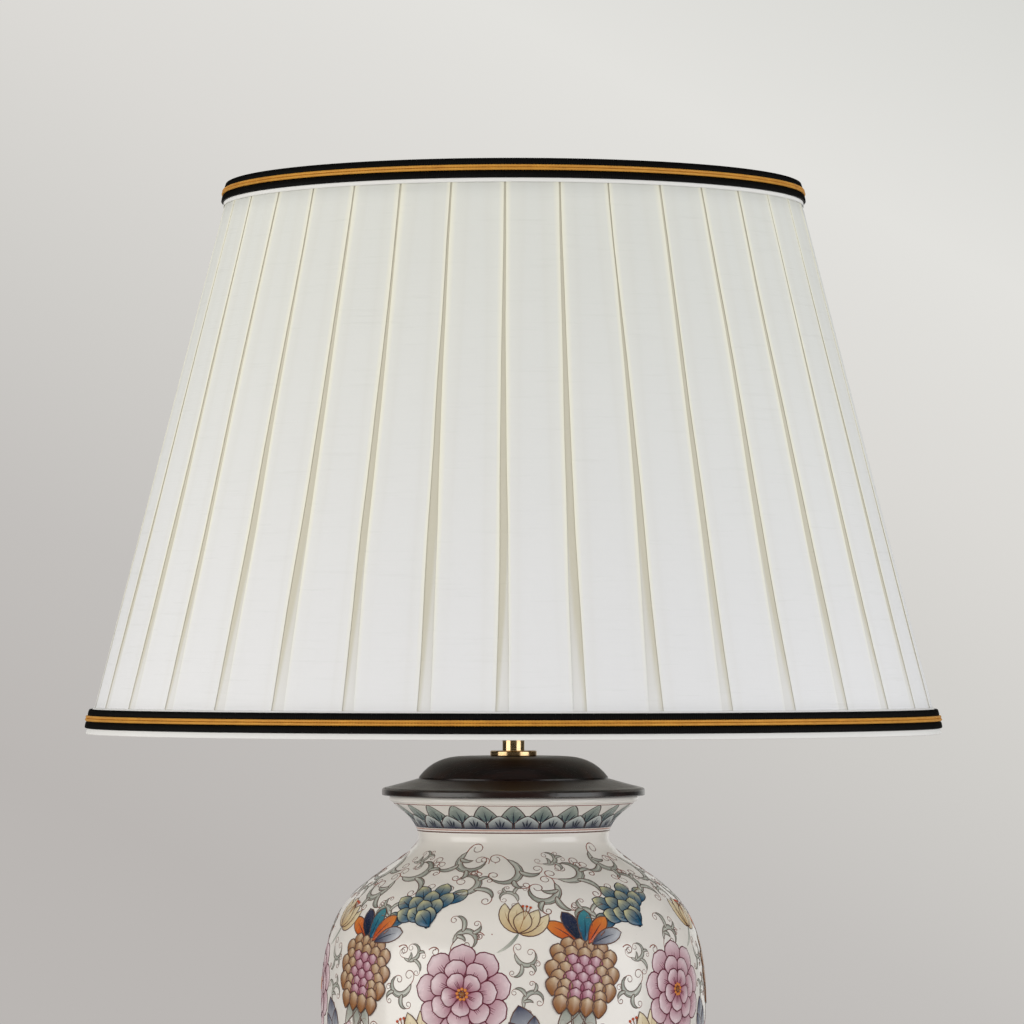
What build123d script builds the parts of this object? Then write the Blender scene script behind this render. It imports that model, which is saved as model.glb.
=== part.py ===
from build123d import *
import os
from math import atan2, cos, degrees, hypot, pi, radians, sin

# Ceramic table lamp. A glazed jar stands between a turned plinth and a turned lid, all clamped
# by one threaded tube. The tube carries a switched lampholder and a detachable harp, and a
# box-pleated shade swivels on top of the harp.
# Millimetres, +Z up. The origin is the centre of the felt pad's underside.

# Clearances
slip_clearance = 0.25
thread_clearance = 0.05
running_clearance = 0.06
cloth_clearance = 0.15
swivel_play = 0.2

# Felt pad and turned plinth
felt_radius = 80.0
felt_thickness = 2.0
plinth_radius = 84.0
plinth_height = 27.0
plinth_band_height = 14.0
plinth_step = 2.0
plinth_top_radius = 71.0
plinth_top_band = 3.0
plinth_edge_radius = 1.2
recess_radius = 56.0
recess_depth = 15.0

# Cord inlet in the back of the plinth
cord_bore_radius = 3.6
bush_wall = 1.0
bush_flange_radius = 6.0
bush_flange_thickness = 1.6
bush_flange_proud = 0.3
cord_height = 9.0

# Threaded tube and its clamp
rod_radius = 5.0
rod_bore_radius = 3.5
rod_tail = 2.0
rod_grip = 9.0
base_washer_radius = 20.0
base_washer_thickness = 2.0
base_nut_flats = 17.0
base_nut_thickness = 6.0

# Jar
seat_thickness = 1.0
seat_width = 12.0
seat_inset = 1.0
jar_height = 320.0
jar_wall = 6.0
jar_floor = 9.0
jar_hole_radius = 5.6
foot_radius = 64.0
foot_height = 6.0
foot_ring_width = 14.0
foot_ring_depth = 2.5
belly_radius = 102.5
belly_drop = 115.0
shoulder_radius = 85.6
shoulder_drop = 51.2
neck_radius = 50.9
neck_drop = 23.0
rim_radius = 66.6
lip_height = 3.4
lip_round = 1.6
foot_pull = 75.0
foot_flare = 9.0
belly_pull = 85.0
shoulder_pull = 67.0
neck_pull = 7.4
collar_pull = 11.0
collar_reach = 4.5

# Lid
lid_radius = 70.4
lid_edge_height = 4.1
lid_edge_round = 1.6
lid_edge_ease = 0.6
lid_slope_height = 5.5
lid_slope_sag = 0.4
lid_dome_radius = 50.6
lid_dome_fullness = 42.5
lid_dome_step = 0.9
lid_dome_height = 11.1
lid_flat_radius = 27.0
spigot_depth = 14.0
spigot_clearance = 0.8

# Brass check ring and neck tube
check_ring_radius = 12.5
check_ring_thickness = 3.0
check_ring_chamfer = 0.5
neck_tube_radius = 5.9
neck_tube_length = 18.0

# Harp saddle and harp
saddle_width = 14.0
saddle_thickness = 1.6
post_height = 12.0
harp_foot_x = 25.0
harp_wire_radius = 2.0
harp_height = 248.0
harp_leg = 40.0
harp_flare_height = 65.0
harp_bow_x = 57.0
harp_foot_bend = 60.0
harp_bow_bend = 70.0
harp_top_bend = 45.0
harp_hub_radius = 5.5
harp_hub_height = 7.0
ferrule_wall = 1.5
ferrule_length = 16.0

# Swivel stud and finial
stud_radius = 2.5
stud_head_radius = 4.2
stud_head_thickness = 1.6
stud_shoulder_radius = 6.5
stud_shoulder_thickness = 2.0
stud_thread_radius = 3.1
stud_thread_length = 11.0
finial_radius = 6.2
finial_height = 16.0
finial_neck_radius = 4.4
finial_foot_height = 3.0

# Lampholder
cap_radius = 17.2
cap_wall = 0.8
cap_boss_radius = 8.0
cap_boss_height = 3.0
cap_dome_height = 11.0
cap_height = 22.0
shell_grip = 5.0
shell_clearance = 0.1
shell_wall = 0.7
shell_height = 42.0
shell_bead = 0.7
shell_bead_height = 1.8
liner_wall = 0.8
socket_body_height = 20.0
screw_shell_wall = 0.7
screw_shell_height = 19.0
contact_radius = 4.0
contact_thickness = 1.2

# Turn switch
stem_radius = 2.4
stem_hole_clearance = 0.6
stem_inner_end = 6.0
stem_outer_end = 30.0
stem_height = 10.0
knob_radius = 6.5
knob_length = 12.0
knob_stand_off = 5.0
knob_dome = 1.5
knob_flutes = 12
knob_flute_radius = 1.1

# Bulb
bulb_radius = 30.0
bulb_neck_radius = 13.6
bulb_neck_height = 50.0
bulb_wall = 0.9
bulb_cap_clearance = 0.3
bulb_cap_height = 22.0
bulb_cap_taper = 5.0
bulb_contact_radius = 4.5
bulb_contact_thickness = 1.6

# Shade
shade_height = 293.7
shade_bottom_radius = 227.4
shade_top_radius = 152.2
spider_drop = 18.0
ring_wire_radius = 1.75
strut_radius = 1.25
strut_count = 8
cover_thickness = 3.2
pleat_depth = 2.0
pleat_count = 36
pleat_gap_top = 1.3
pleat_gap_bottom = 8.0
pleat_phase = -92.0
lining_thickness = 0.8
top_binding_thickness = 0.4
bottom_binding_thickness = 0.7
binding_inner_leg = 9.0
binding_margin_top = 2.0
binding_margin_bottom = 1.0
hem_drop = 3.0

# Spider
spider_washer_radius = 10.0
spider_washer_thickness = 1.6
spider_arm_radius = 1.6
spider_arm_count = 3
spider_arm_start = -90.0
spider_bend_radius = 112.0
spider_bend = 20.0
notch_margin = 1.2
notch_depth = 7.0

# Braid
braid_height = 10.4
braid_thickness = 1.4
braid_web = 0.5
braid_lobe_round = 0.6
cord_gap = 0.05
cord_press = 0.1
gold_cord_radius = 0.8

# Heights of the stack
plinth_bottom = felt_thickness
plinth_top = plinth_bottom + plinth_height
recess_top = plinth_bottom + recess_depth
jar_bottom = plinth_top + seat_thickness
jar_top = jar_bottom + jar_height
lid_top = jar_top + lid_edge_height + lid_slope_height + lid_dome_height
check_ring_top = lid_top + check_ring_thickness
saddle_bottom = check_ring_top + neck_tube_length
saddle_top = saddle_bottom + saddle_thickness
post_top = saddle_top + post_height
harp_top = post_top + harp_height
shoulder_bottom = harp_top + swivel_play
spider_bottom = shoulder_bottom + stud_shoulder_thickness
spider_top = spider_bottom + spider_washer_thickness
spider_middle = spider_bottom + spider_washer_thickness / 2
top_ring_z = spider_middle + spider_drop
shade_top = top_ring_z + ring_wire_radius + cloth_clearance + top_binding_thickness
hem_z = shade_top - shade_height
bottom_ring_z = hem_z + bottom_binding_thickness + cloth_clearance + ring_wire_radius

# Layers of the shade, as distances in from the outer face of the pleats
shade_slope = atan2(shade_bottom_radius - shade_top_radius, shade_height)
ring_inset = cover_thickness + cloth_clearance + ring_wire_radius / cos(shade_slope)
lining_inset = ring_inset + cloth_clearance + ring_wire_radius / cos(shade_slope)
inner_leg_inset = lining_inset + lining_thickness + cloth_clearance


def keep(builder, name):
    """Label a finished piece and write it to its own file."""
    builder.part.label = name
    export_step(builder.part, f"parts/{name}.step")


def shade_radius(z, inset=0.0):
    """Radius of the shade's cone at height z, moved in by inset."""
    fall = (shade_bottom_radius - shade_top_radius) / shade_height
    return shade_bottom_radius - fall * (z - hem_z) - inset


def radial_plane(angle):
    """Upright plane through the lamp's axis: local x runs outwards at angle, local y is up."""
    turn = radians(angle)
    return Plane(origin=(0, 0, 0), x_dir=(cos(turn), sin(turn), 0), z_dir=(sin(turn), -cos(turn), 0))


os.makedirs("parts", exist_ok=True)

# Felt pad
with BuildPart() as felt_pad:
    with BuildSketch():
        Circle(felt_radius)
    extrude(amount=felt_thickness)
keep(felt_pad, "felt_pad")

# Plinth: plain band, step, cove and top band, hollow below
rod_hole_radius = rod_radius + slip_clearance
cove_bottom = plinth_bottom + plinth_band_height
cove_top = plinth_top - plinth_top_band
cove_radius = plinth_radius - plinth_step
bush_radius = cord_bore_radius + bush_wall
cord_z = plinth_bottom + cord_height
flange_seat = plinth_radius - bush_flange_thickness
with BuildPart() as plinth:
    with BuildSketch(Plane.XZ):
        with BuildLine():
            Polyline(
                (plinth_top_radius, cove_top),
                (plinth_top_radius, plinth_top),
                (rod_hole_radius, plinth_top),
                (rod_hole_radius, recess_top),
                (recess_radius, recess_top),
                (recess_radius, plinth_bottom),
                (plinth_radius, plinth_bottom),
                (plinth_radius, cove_bottom),
                (cove_radius, cove_bottom),
            )
            Bezier(
                (cove_radius, cove_bottom),
                (plinth_top_radius, cove_bottom),
                (plinth_top_radius, cove_top),
            )
        make_face()
    revolve(axis=Axis.Z)
    band_edges = plinth.edges().filter_by(GeomType.CIRCLE).filter_by(
        lambda edge: abs(edge.radius - plinth_radius) < slip_clearance
    )
    fillet(band_edges, radius=plinth_edge_radius)
    with BuildSketch(Plane.ZX):
        with Locations((cord_z, 0)):
            Circle(bush_radius + thread_clearance)
    extrude(amount=plinth_radius, mode=Mode.SUBTRACT)
    with BuildSketch(Plane.ZX.offset(flange_seat)):
        with Locations((cord_z, 0)):
            Circle(bush_flange_radius + slip_clearance)
    extrude(amount=bush_flange_thickness, mode=Mode.SUBTRACT)
keep(plinth, "plinth")

# Flanged bush where the cord comes in
with BuildPart() as cord_bush:
    with BuildSketch(Plane.ZX.offset(recess_radius)):
        with Locations((cord_z, 0)):
            Circle(bush_radius)
    extrude(amount=flange_seat - recess_radius)
    with BuildSketch(Plane.ZX.offset(flange_seat)):
        with Locations((cord_z, 0)):
            Circle(bush_flange_radius)
    extrude(amount=bush_flange_thickness + bush_flange_proud)
    with BuildSketch(Plane.ZX.offset(recess_radius)):
        with Locations((cord_z, 0)):
            Circle(cord_bore_radius)
    extrude(amount=plinth_radius, mode=Mode.SUBTRACT)
keep(cord_bush, "cord_bush")

# Washer, nut and threaded tube
screwed_radius = rod_radius + thread_clearance
nut_top = recess_top - base_washer_thickness
nut_bottom = nut_top - base_nut_thickness
rod_top = saddle_top + rod_grip
with BuildPart() as base_washer:
    with BuildSketch(Plane.XY.offset(nut_top)):
        Circle(base_washer_radius)
        Circle(rod_hole_radius, mode=Mode.SUBTRACT)
    extrude(amount=base_washer_thickness)
keep(base_washer, "base_washer")

with BuildPart() as base_nut:
    with BuildSketch(Plane.XY.offset(nut_bottom)):
        RegularPolygon(base_nut_flats / 2, 6, major_radius=False)
        Circle(screwed_radius, mode=Mode.SUBTRACT)
    extrude(amount=base_nut_thickness)
keep(base_nut, "base_nut")

with BuildPart() as rod:
    with BuildSketch(Plane.XY.offset(nut_bottom - rod_tail)):
        Circle(rod_radius)
        Circle(rod_bore_radius, mode=Mode.SUBTRACT)
    extrude(amount=rod_top - nut_bottom + rod_tail)
keep(rod, "rod")

# Cork ring under the jar
with BuildPart() as jar_seat:
    with BuildSketch(Plane.XY.offset(plinth_top)):
        Circle(foot_radius - seat_inset)
        Circle(foot_radius - seat_inset - seat_width, mode=Mode.SUBTRACT)
    extrude(amount=seat_thickness)
keep(jar_seat, "jar_seat")

# Jar
belly_z = jar_top - belly_drop
shoulder_z = jar_top - shoulder_drop
neck_z = jar_top - neck_drop
lip_z = jar_top - lip_height


def jar_side(foot_z, inset):
    """Side of the jar from the foot up to the underside of the lip, moved in by inset."""
    foot = foot_radius - inset
    belly = belly_radius - inset
    shoulder = shoulder_radius - inset
    neck = neck_radius - inset
    lip = rim_radius - lip_round - inset
    Bezier(
        (foot, foot_z),
        (foot + foot_flare, foot_z + foot_pull),
        (belly, belly_z - belly_pull),
        (belly, belly_z),
    )
    Bezier(
        (belly, belly_z),
        (belly, belly_z + shoulder_pull),
        (shoulder, shoulder_z),
        (neck, neck_z - neck_pull),
        (neck, neck_z),
    )
    Bezier(
        (neck, neck_z),
        (neck, neck_z + collar_pull),
        (lip - collar_reach, lip_z - collar_reach),
        (lip, lip_z),
    )


with BuildPart() as jar:
    with BuildSketch(Plane.XZ):
        with BuildLine():
            jar_side(jar_bottom + foot_height, 0)
            ThreePointArc(
                (rim_radius - lip_round, lip_z),
                (rim_radius, (lip_z + jar_top) / 2),
                (rim_radius - lip_round, jar_top),
            )
            Polyline(
                (rim_radius - lip_round, jar_top),
                (rim_radius - lip_round - jar_wall, jar_top),
                (rim_radius - lip_round - jar_wall, lip_z),
            )
            jar_side(jar_bottom + jar_floor, jar_wall)
            Polyline(
                (foot_radius - jar_wall, jar_bottom + jar_floor),
                (jar_hole_radius, jar_bottom + jar_floor),
                (jar_hole_radius, jar_bottom + foot_ring_depth),
                (foot_radius - foot_ring_width, jar_bottom + foot_ring_depth),
                (foot_radius - foot_ring_width, jar_bottom),
                (foot_radius, jar_bottom),
                (foot_radius, jar_bottom + foot_height),
            )
        make_face()
    revolve(axis=Axis.Z)
keep(jar, "jar")

# Lid: upright edge, sagging slope, step, full dome and a spigot in the jar's neck
slope_bottom = jar_top + lid_edge_height
slope_top = slope_bottom + lid_slope_height
spigot_radius = neck_radius - jar_wall - spigot_clearance
with BuildPart() as lid:
    with BuildSketch(Plane.XZ):
        with BuildLine():
            TangentArc(
                (lid_radius - lid_edge_ease, jar_top),
                (lid_radius, jar_top + lid_edge_ease),
                tangent=(1, 0),
            )
            Line(
                (lid_radius, jar_top + lid_edge_ease),
                (lid_radius, slope_bottom - lid_edge_round),
            )
            TangentArc(
                (lid_radius, slope_bottom - lid_edge_round),
                (lid_radius - lid_edge_round, slope_bottom),
                tangent=(0, 1),
            )
            Bezier(
                (lid_radius - lid_edge_round, slope_bottom),
                ((lid_radius + lid_dome_radius) / 2, (slope_bottom + slope_top) / 2 - 2 * lid_slope_sag),
                (lid_dome_radius + lid_dome_step, slope_top - lid_dome_step),
            )
            Polyline(
                (lid_dome_radius + lid_dome_step, slope_top - lid_dome_step),
                (lid_dome_radius, slope_top - lid_dome_step),
                (lid_dome_radius, slope_top),
            )
            Bezier(
                (lid_dome_radius, slope_top),
                (lid_dome_fullness, lid_top),
                (lid_flat_radius, lid_top),
            )
            Polyline(
                (lid_flat_radius, lid_top),
                (rod_hole_radius, lid_top),
                (rod_hole_radius, jar_top - spigot_depth),
                (spigot_radius, jar_top - spigot_depth),
                (spigot_radius, jar_top),
                (lid_radius - lid_edge_ease, jar_top),
            )
        make_face()
    revolve(axis=Axis.Z)
keep(lid, "lid")

# Brass check ring and neck tube
with BuildPart() as check_ring:
    with BuildSketch(Plane.XY.offset(lid_top)):
        Circle(check_ring_radius)
    extrude(amount=check_ring_thickness)
    chamfer(check_ring.edges().filter_by(GeomType.CIRCLE), length=check_ring_chamfer)
    with BuildSketch(Plane.XY.offset(lid_top)):
        Circle(rod_hole_radius)
    extrude(amount=check_ring_thickness, mode=Mode.SUBTRACT)
keep(check_ring, "check_ring")

with BuildPart() as neck_tube:
    with BuildSketch(Plane.XY.offset(check_ring_top)):
        Circle(neck_tube_radius)
        Circle(rod_hole_radius, mode=Mode.SUBTRACT)
    extrude(amount=neck_tube_length)
keep(neck_tube, "neck_tube")

# Harp saddle: a strip with a round post at each end
with BuildPart() as harp_saddle:
    with BuildSketch(Plane.XY.offset(saddle_bottom)):
        SlotCenterToCenter(2 * harp_foot_x, saddle_width)
        Circle(rod_hole_radius, mode=Mode.SUBTRACT)
    extrude(amount=saddle_thickness)
    with BuildSketch(Plane.XY.offset(saddle_top)):
        with Locations((-harp_foot_x, 0), (harp_foot_x, 0)):
            Circle(harp_wire_radius)
    extrude(amount=post_height)
keep(harp_saddle, "harp_saddle")

# Harp: one bent wire on each side of a hub
harp_arm_z = harp_top - harp_hub_height / 2
stud_hole_radius = stud_radius + running_clearance
with BuildPart() as harp:
    with BuildLine(Plane.XZ):
        FilletPolyline(
            (harp_foot_x, post_top),
            (harp_foot_x, post_top + harp_leg),
            (harp_bow_x, post_top + harp_leg + harp_flare_height),
            (harp_bow_x, harp_arm_z),
            (stud_hole_radius, harp_arm_z),
            radius=[harp_foot_bend, harp_bow_bend, harp_top_bend],
        )
    with BuildSketch(Plane.XY.offset(post_top)):
        with Locations((harp_foot_x, 0)):
            Circle(harp_wire_radius)
    sweep()
    mirror(about=Plane.YZ)
    with BuildSketch(Plane.XY.offset(harp_top - harp_hub_height)):
        Circle(harp_hub_radius)
    extrude(amount=harp_hub_height)
    with BuildSketch(Plane.XY.offset(harp_top - harp_hub_height)):
        Circle(stud_hole_radius)
    extrude(amount=harp_hub_height, mode=Mode.SUBTRACT)
keep(harp, "harp")


# Ferrules that lock the harp's feet to the saddle's posts
def make_ferrule(name, side):
    """Sleeve standing on the saddle round the joint of post and harp."""
    bore = harp_wire_radius + running_clearance
    with BuildPart() as ferrule:
        with BuildSketch(Plane.XY.offset(saddle_top)):
            with Locations((side * harp_foot_x, 0)):
                Circle(bore + ferrule_wall)
                Circle(bore, mode=Mode.SUBTRACT)
        extrude(amount=ferrule_length)
    keep(ferrule, name)


make_ferrule("ferrule_left", -1)
make_ferrule("ferrule_right", 1)

# Swivel stud: rivet head, shaft in the hub, shoulder and thread
head_top = harp_top - harp_hub_height - swivel_play
head_bottom = head_top - stud_head_thickness
with BuildPart() as swivel_stud:
    with BuildSketch(Plane.XY.offset(head_bottom)):
        Circle(stud_head_radius)
    extrude(amount=stud_head_thickness)
    with BuildSketch(Plane.XY.offset(head_top)):
        Circle(stud_radius)
    extrude(amount=shoulder_bottom - head_top)
    with BuildSketch(Plane.XY.offset(shoulder_bottom)):
        Circle(stud_shoulder_radius)
    extrude(amount=stud_shoulder_thickness)
    with BuildSketch(Plane.XY.offset(spider_bottom)):
        Circle(stud_thread_radius)
    extrude(amount=stud_thread_length)
keep(swivel_stud, "swivel_stud")

# Finial: foot, neck and ball, screwed on the stud
finial_ball_z = spider_top + finial_height - finial_radius
finial_bore = stud_thread_radius + thread_clearance
finial_bore_top = spider_bottom + stud_thread_length + thread_clearance
finial_foot_top = spider_top + finial_foot_height
with BuildPart() as finial:
    with BuildSketch(Plane.XZ):
        with BuildLine():
            Polyline(
                (0, finial_ball_z + finial_radius),
                (0, finial_bore_top),
                (finial_bore, finial_bore_top),
                (finial_bore, spider_top),
                (finial_radius, spider_top),
                (finial_radius, finial_foot_top),
            )
            Bezier(
                (finial_radius, finial_foot_top),
                (finial_neck_radius, finial_foot_top),
                (finial_neck_radius, finial_ball_z),
                (finial_radius, finial_ball_z),
            )
            RadiusArc((finial_radius, finial_ball_z), (0, finial_ball_z + finial_radius), -finial_radius)
        make_face()
    revolve(axis=Axis.Z)
keep(finial, "finial")

# Lampholder: cap, shell, fibre liner, switch body and contacts
dome_bottom = saddle_top + cap_boss_height
dome_top = dome_bottom + cap_dome_height
cap_top = saddle_top + cap_height
cap_bore_radius = cap_radius - cap_wall
with BuildPart() as socket_cap:
    with BuildSketch(Plane.XZ):
        with BuildLine():
            Polyline(
                (cap_radius, dome_top),
                (cap_radius, cap_top),
                (cap_bore_radius, cap_top),
                (cap_bore_radius, dome_top),
                (cap_boss_radius, saddle_top + rod_grip),
                (screwed_radius, saddle_top + rod_grip),
                (screwed_radius, saddle_top),
                (cap_boss_radius, saddle_top),
                (cap_boss_radius, dome_bottom),
            )
            Bezier((cap_boss_radius, dome_bottom), (cap_radius, dome_bottom), (cap_radius, dome_top))
        make_face()
    revolve(axis=Axis.Z)
keep(socket_cap, "socket_cap")

shell_radius = cap_bore_radius - shell_clearance
shell_bottom = cap_top - shell_grip
shell_top = shell_bottom + shell_height
stem_z = cap_top + stem_height
stem_hole_radius = stem_radius + stem_hole_clearance
liner_radius = shell_radius - shell_wall - shell_clearance
body_radius = liner_radius - liner_wall - shell_clearance
body_top = shell_bottom + socket_body_height
with BuildPart() as socket_shell:
    with BuildSketch(Plane.XY.offset(shell_bottom)):
        Circle(shell_radius)
    extrude(amount=shell_height)
    with BuildSketch(Plane.XY.offset(shell_top - shell_bead_height)):
        Circle(shell_radius + shell_bead)
    extrude(amount=shell_bead_height)
    with BuildSketch(Plane.XY.offset(shell_bottom)):
        Circle(shell_radius - shell_wall)
    extrude(amount=shell_height, mode=Mode.SUBTRACT)
    with BuildSketch(Plane.XZ):
        with Locations((0, stem_z)):
            Circle(stem_hole_radius)
    extrude(amount=cap_radius, mode=Mode.SUBTRACT)
keep(socket_shell, "socket_shell")

with BuildPart() as socket_liner:
    with BuildSketch(Plane.XY.offset(shell_bottom)):
        Circle(liner_radius)
        Circle(liner_radius - liner_wall, mode=Mode.SUBTRACT)
    extrude(amount=shell_height)
    with BuildSketch(Plane.XZ):
        with Locations((0, stem_z)):
            Circle(stem_hole_radius)
    extrude(amount=cap_radius, mode=Mode.SUBTRACT)
keep(socket_liner, "socket_liner")

with BuildPart() as socket_body:
    with BuildSketch(Plane.XY.offset(shell_bottom)):
        Circle(body_radius)
    extrude(amount=socket_body_height)
    with BuildSketch(Plane.XZ.offset(stem_inner_end)):
        with Locations((0, stem_z)):
            Circle(stem_radius + running_clearance)
    extrude(amount=cap_radius, mode=Mode.SUBTRACT)
keep(socket_body, "socket_body")

screw_bore_radius = body_radius - screw_shell_wall
with BuildPart() as screw_shell:
    with BuildSketch(Plane.XY.offset(body_top)):
        Circle(body_radius)
        Circle(screw_bore_radius, mode=Mode.SUBTRACT)
    extrude(amount=screw_shell_height)
keep(screw_shell, "screw_shell")

with BuildPart() as centre_contact:
    with BuildSketch(Plane.XY.offset(body_top)):
        Circle(contact_radius)
    extrude(amount=contact_thickness)
keep(centre_contact, "centre_contact")

# Turn switch: a stem along -Y with a fluted knob
knob_inner_end = shell_radius + knob_stand_off
knob_bore_end = stem_outer_end + thread_clearance
with BuildPart() as switch_stem:
    with BuildSketch(Plane.XZ.offset(stem_inner_end + running_clearance)):
        with Locations((0, stem_z)):
            Circle(stem_radius)
    extrude(amount=stem_outer_end - stem_inner_end - running_clearance)
keep(switch_stem, "switch_stem")

with BuildPart() as switch_knob:
    with BuildSketch(Plane.XZ.offset(knob_inner_end)):
        with Locations((0, stem_z)):
            Circle(knob_radius)
    extrude(amount=knob_length)
    fillet(switch_knob.edges().filter_by(GeomType.CIRCLE).sort_by(Axis.Y)[0], radius=knob_dome)
    with BuildSketch(Plane.XZ.offset(knob_inner_end)):
        with Locations((0, stem_z)):
            with PolarLocations(knob_radius, knob_flutes):
                Circle(knob_flute_radius)
            Circle(stem_radius + thread_clearance)
    extrude(amount=knob_bore_end - knob_inner_end, mode=Mode.SUBTRACT)
keep(switch_knob, "switch_knob")

# Bulb: contact, screw cap and an open-necked glass
bulb_contact_bottom = body_top + contact_thickness
bulb_cap_bottom = bulb_contact_bottom + bulb_contact_thickness
bulb_cap_radius = screw_bore_radius - bulb_cap_clearance
bulb_cap_top = bulb_cap_bottom + bulb_cap_height
bulb_centre_z = bulb_cap_top + bulb_neck_height
with BuildPart() as bulb_contact:
    with BuildSketch(Plane.XY.offset(bulb_contact_bottom)):
        Circle(bulb_contact_radius)
    extrude(amount=bulb_contact_thickness)
keep(bulb_contact, "bulb_contact")

with BuildPart() as bulb_cap:
    with BuildSketch(Plane.XZ):
        with BuildLine():
            Polyline(
                (0, bulb_cap_bottom),
                (bulb_contact_radius, bulb_cap_bottom),
                (bulb_cap_radius, bulb_cap_bottom + bulb_cap_taper),
                (bulb_cap_radius, bulb_cap_top),
                (0, bulb_cap_top),
                close=True,
            )
        make_face()
    revolve(axis=Axis.Z)
keep(bulb_cap, "bulb_cap")


def bulb_side(inset):
    """Side of the bulb's glass from the neck to the crown, moved in by inset."""
    neck = bulb_neck_radius - inset
    widest = bulb_radius - inset
    Bezier(
        (neck, bulb_cap_top),
        (neck, (bulb_cap_top + bulb_centre_z) / 2),
        (widest, (bulb_cap_top + bulb_centre_z) / 2),
        (widest, bulb_centre_z),
    )
    RadiusArc((widest, bulb_centre_z), (0, bulb_centre_z + widest), -widest)


with BuildPart() as bulb_glass:
    with BuildSketch(Plane.XZ):
        with BuildLine():
            bulb_side(0)
            bulb_side(bulb_wall)
            Line((bulb_neck_radius, bulb_cap_top), (bulb_neck_radius - bulb_wall, bulb_cap_top))
            Line((0, bulb_centre_z + bulb_radius), (0, bulb_centre_z + bulb_radius - bulb_wall))
        make_face()
    revolve(axis=Axis.Z)
keep(bulb_glass, "bulb_glass")


# Wire frame of the shade: two rings and straight struts between them
def make_ring(name, z):
    """Wire ring that lies between the cover and the lining at height z."""
    with BuildPart() as ring:
        with BuildSketch(Plane.XZ):
            with Locations((shade_radius(z, ring_inset), z)):
                Circle(ring_wire_radius)
        revolve(axis=Axis.Z)
    keep(ring, name)


make_ring("top_ring", top_ring_z)
make_ring("bottom_ring", bottom_ring_z)

bottom_ring_radius = shade_radius(bottom_ring_z, ring_inset)
top_ring_radius = shade_radius(top_ring_z, ring_inset)
strut_span = hypot(bottom_ring_radius - top_ring_radius, top_ring_z - bottom_ring_z)
strut_lean = atan2(bottom_ring_radius - top_ring_radius, top_ring_z - bottom_ring_z)
strut_foot_radius = bottom_ring_radius - ring_wire_radius * sin(strut_lean)
strut_foot_z = bottom_ring_z + ring_wire_radius * cos(strut_lean)
with BuildPart() as struts:
    for place in range(strut_count):
        turn = 2 * pi * place / strut_count
        foot_point = (strut_foot_radius * cos(turn), strut_foot_radius * sin(turn), strut_foot_z)
        rise = (-sin(strut_lean) * cos(turn), -sin(strut_lean) * sin(turn), cos(strut_lean))
        with BuildSketch(Plane(origin=foot_point, z_dir=rise)):
            Circle(strut_radius)
        extrude(amount=strut_span - 2 * ring_wire_radius)
keep(struts, "struts")

# Spider: a washer on the stud and arms that rise to the top ring
arm_reach = top_ring_radius - spider_bend_radius
arm_rise = atan2(spider_drop, arm_reach)
arm_end_radius = top_ring_radius - ring_wire_radius * cos(arm_rise)
arm_end_z = top_ring_z - ring_wire_radius * sin(arm_rise)
arm_start_radius = (spider_washer_radius + stud_thread_radius) / 2
with BuildPart() as spider:
    with BuildSketch(Plane.XY.offset(spider_bottom)):
        Circle(spider_washer_radius)
    extrude(amount=spider_washer_thickness)
    for place in range(spider_arm_count):
        arm_plane = radial_plane(spider_arm_start + 360 * place / spider_arm_count)
        with BuildLine(arm_plane) as arm_line:
            FilletPolyline(
                (arm_start_radius, spider_middle),
                (spider_bend_radius, spider_middle),
                (arm_end_radius, arm_end_z),
                radius=spider_bend,
            )
        with BuildSketch(Plane(origin=arm_line.line @ 0, z_dir=arm_plane.x_dir)):
            Circle(spider_arm_radius)
        sweep()
    with BuildSketch(Plane.XY.offset(spider_bottom)):
        Circle(stud_shoulder_radius + slip_clearance)
    extrude(amount=-spider_arm_radius, mode=Mode.SUBTRACT)
    with BuildSketch(Plane.XY.offset(spider_top)):
        Circle(finial_radius + slip_clearance)
    extrude(amount=spider_arm_radius, mode=Mode.SUBTRACT)
    with BuildSketch(Plane.XY.offset(spider_bottom)):
        Circle(stud_thread_radius + slip_clearance)
    extrude(amount=spider_washer_thickness, mode=Mode.SUBTRACT)
keep(spider, "spider")

# Openings in the lining and the top binding where the spider's arms pass
notch_bottom = top_ring_z - notch_depth
notch_height = notch_depth + ring_wire_radius
notch_width = 2 * (spider_arm_radius + notch_margin)
notch_length = 2 * (inner_leg_inset - ring_inset + top_binding_thickness + notch_margin)
with BuildSketch(Plane.XY.offset(notch_bottom)) as arm_notches:
    with PolarLocations(top_ring_radius - notch_length / 2, spider_arm_count, spider_arm_start):
        Rectangle(notch_length, notch_width)

# Lining: a plain cone of cloth inside the frame
cover_bottom = hem_z + bottom_binding_thickness + cloth_clearance
cover_top = shade_top - top_binding_thickness - cloth_clearance
with BuildPart() as lining:
    with BuildSketch(Plane.XZ):
        with BuildLine():
            Polyline(
                (shade_radius(cover_bottom, lining_inset), cover_bottom),
                (shade_radius(cover_top, lining_inset), cover_top),
                (shade_radius(cover_top, lining_inset + lining_thickness), cover_top),
                (shade_radius(cover_bottom, lining_inset + lining_thickness), cover_bottom),
                close=True,
            )
        make_face()
    revolve(axis=Axis.Z)
    extrude(arm_notches.sketch, amount=notch_height, mode=Mode.SUBTRACT)
keep(lining, "lining")


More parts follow.
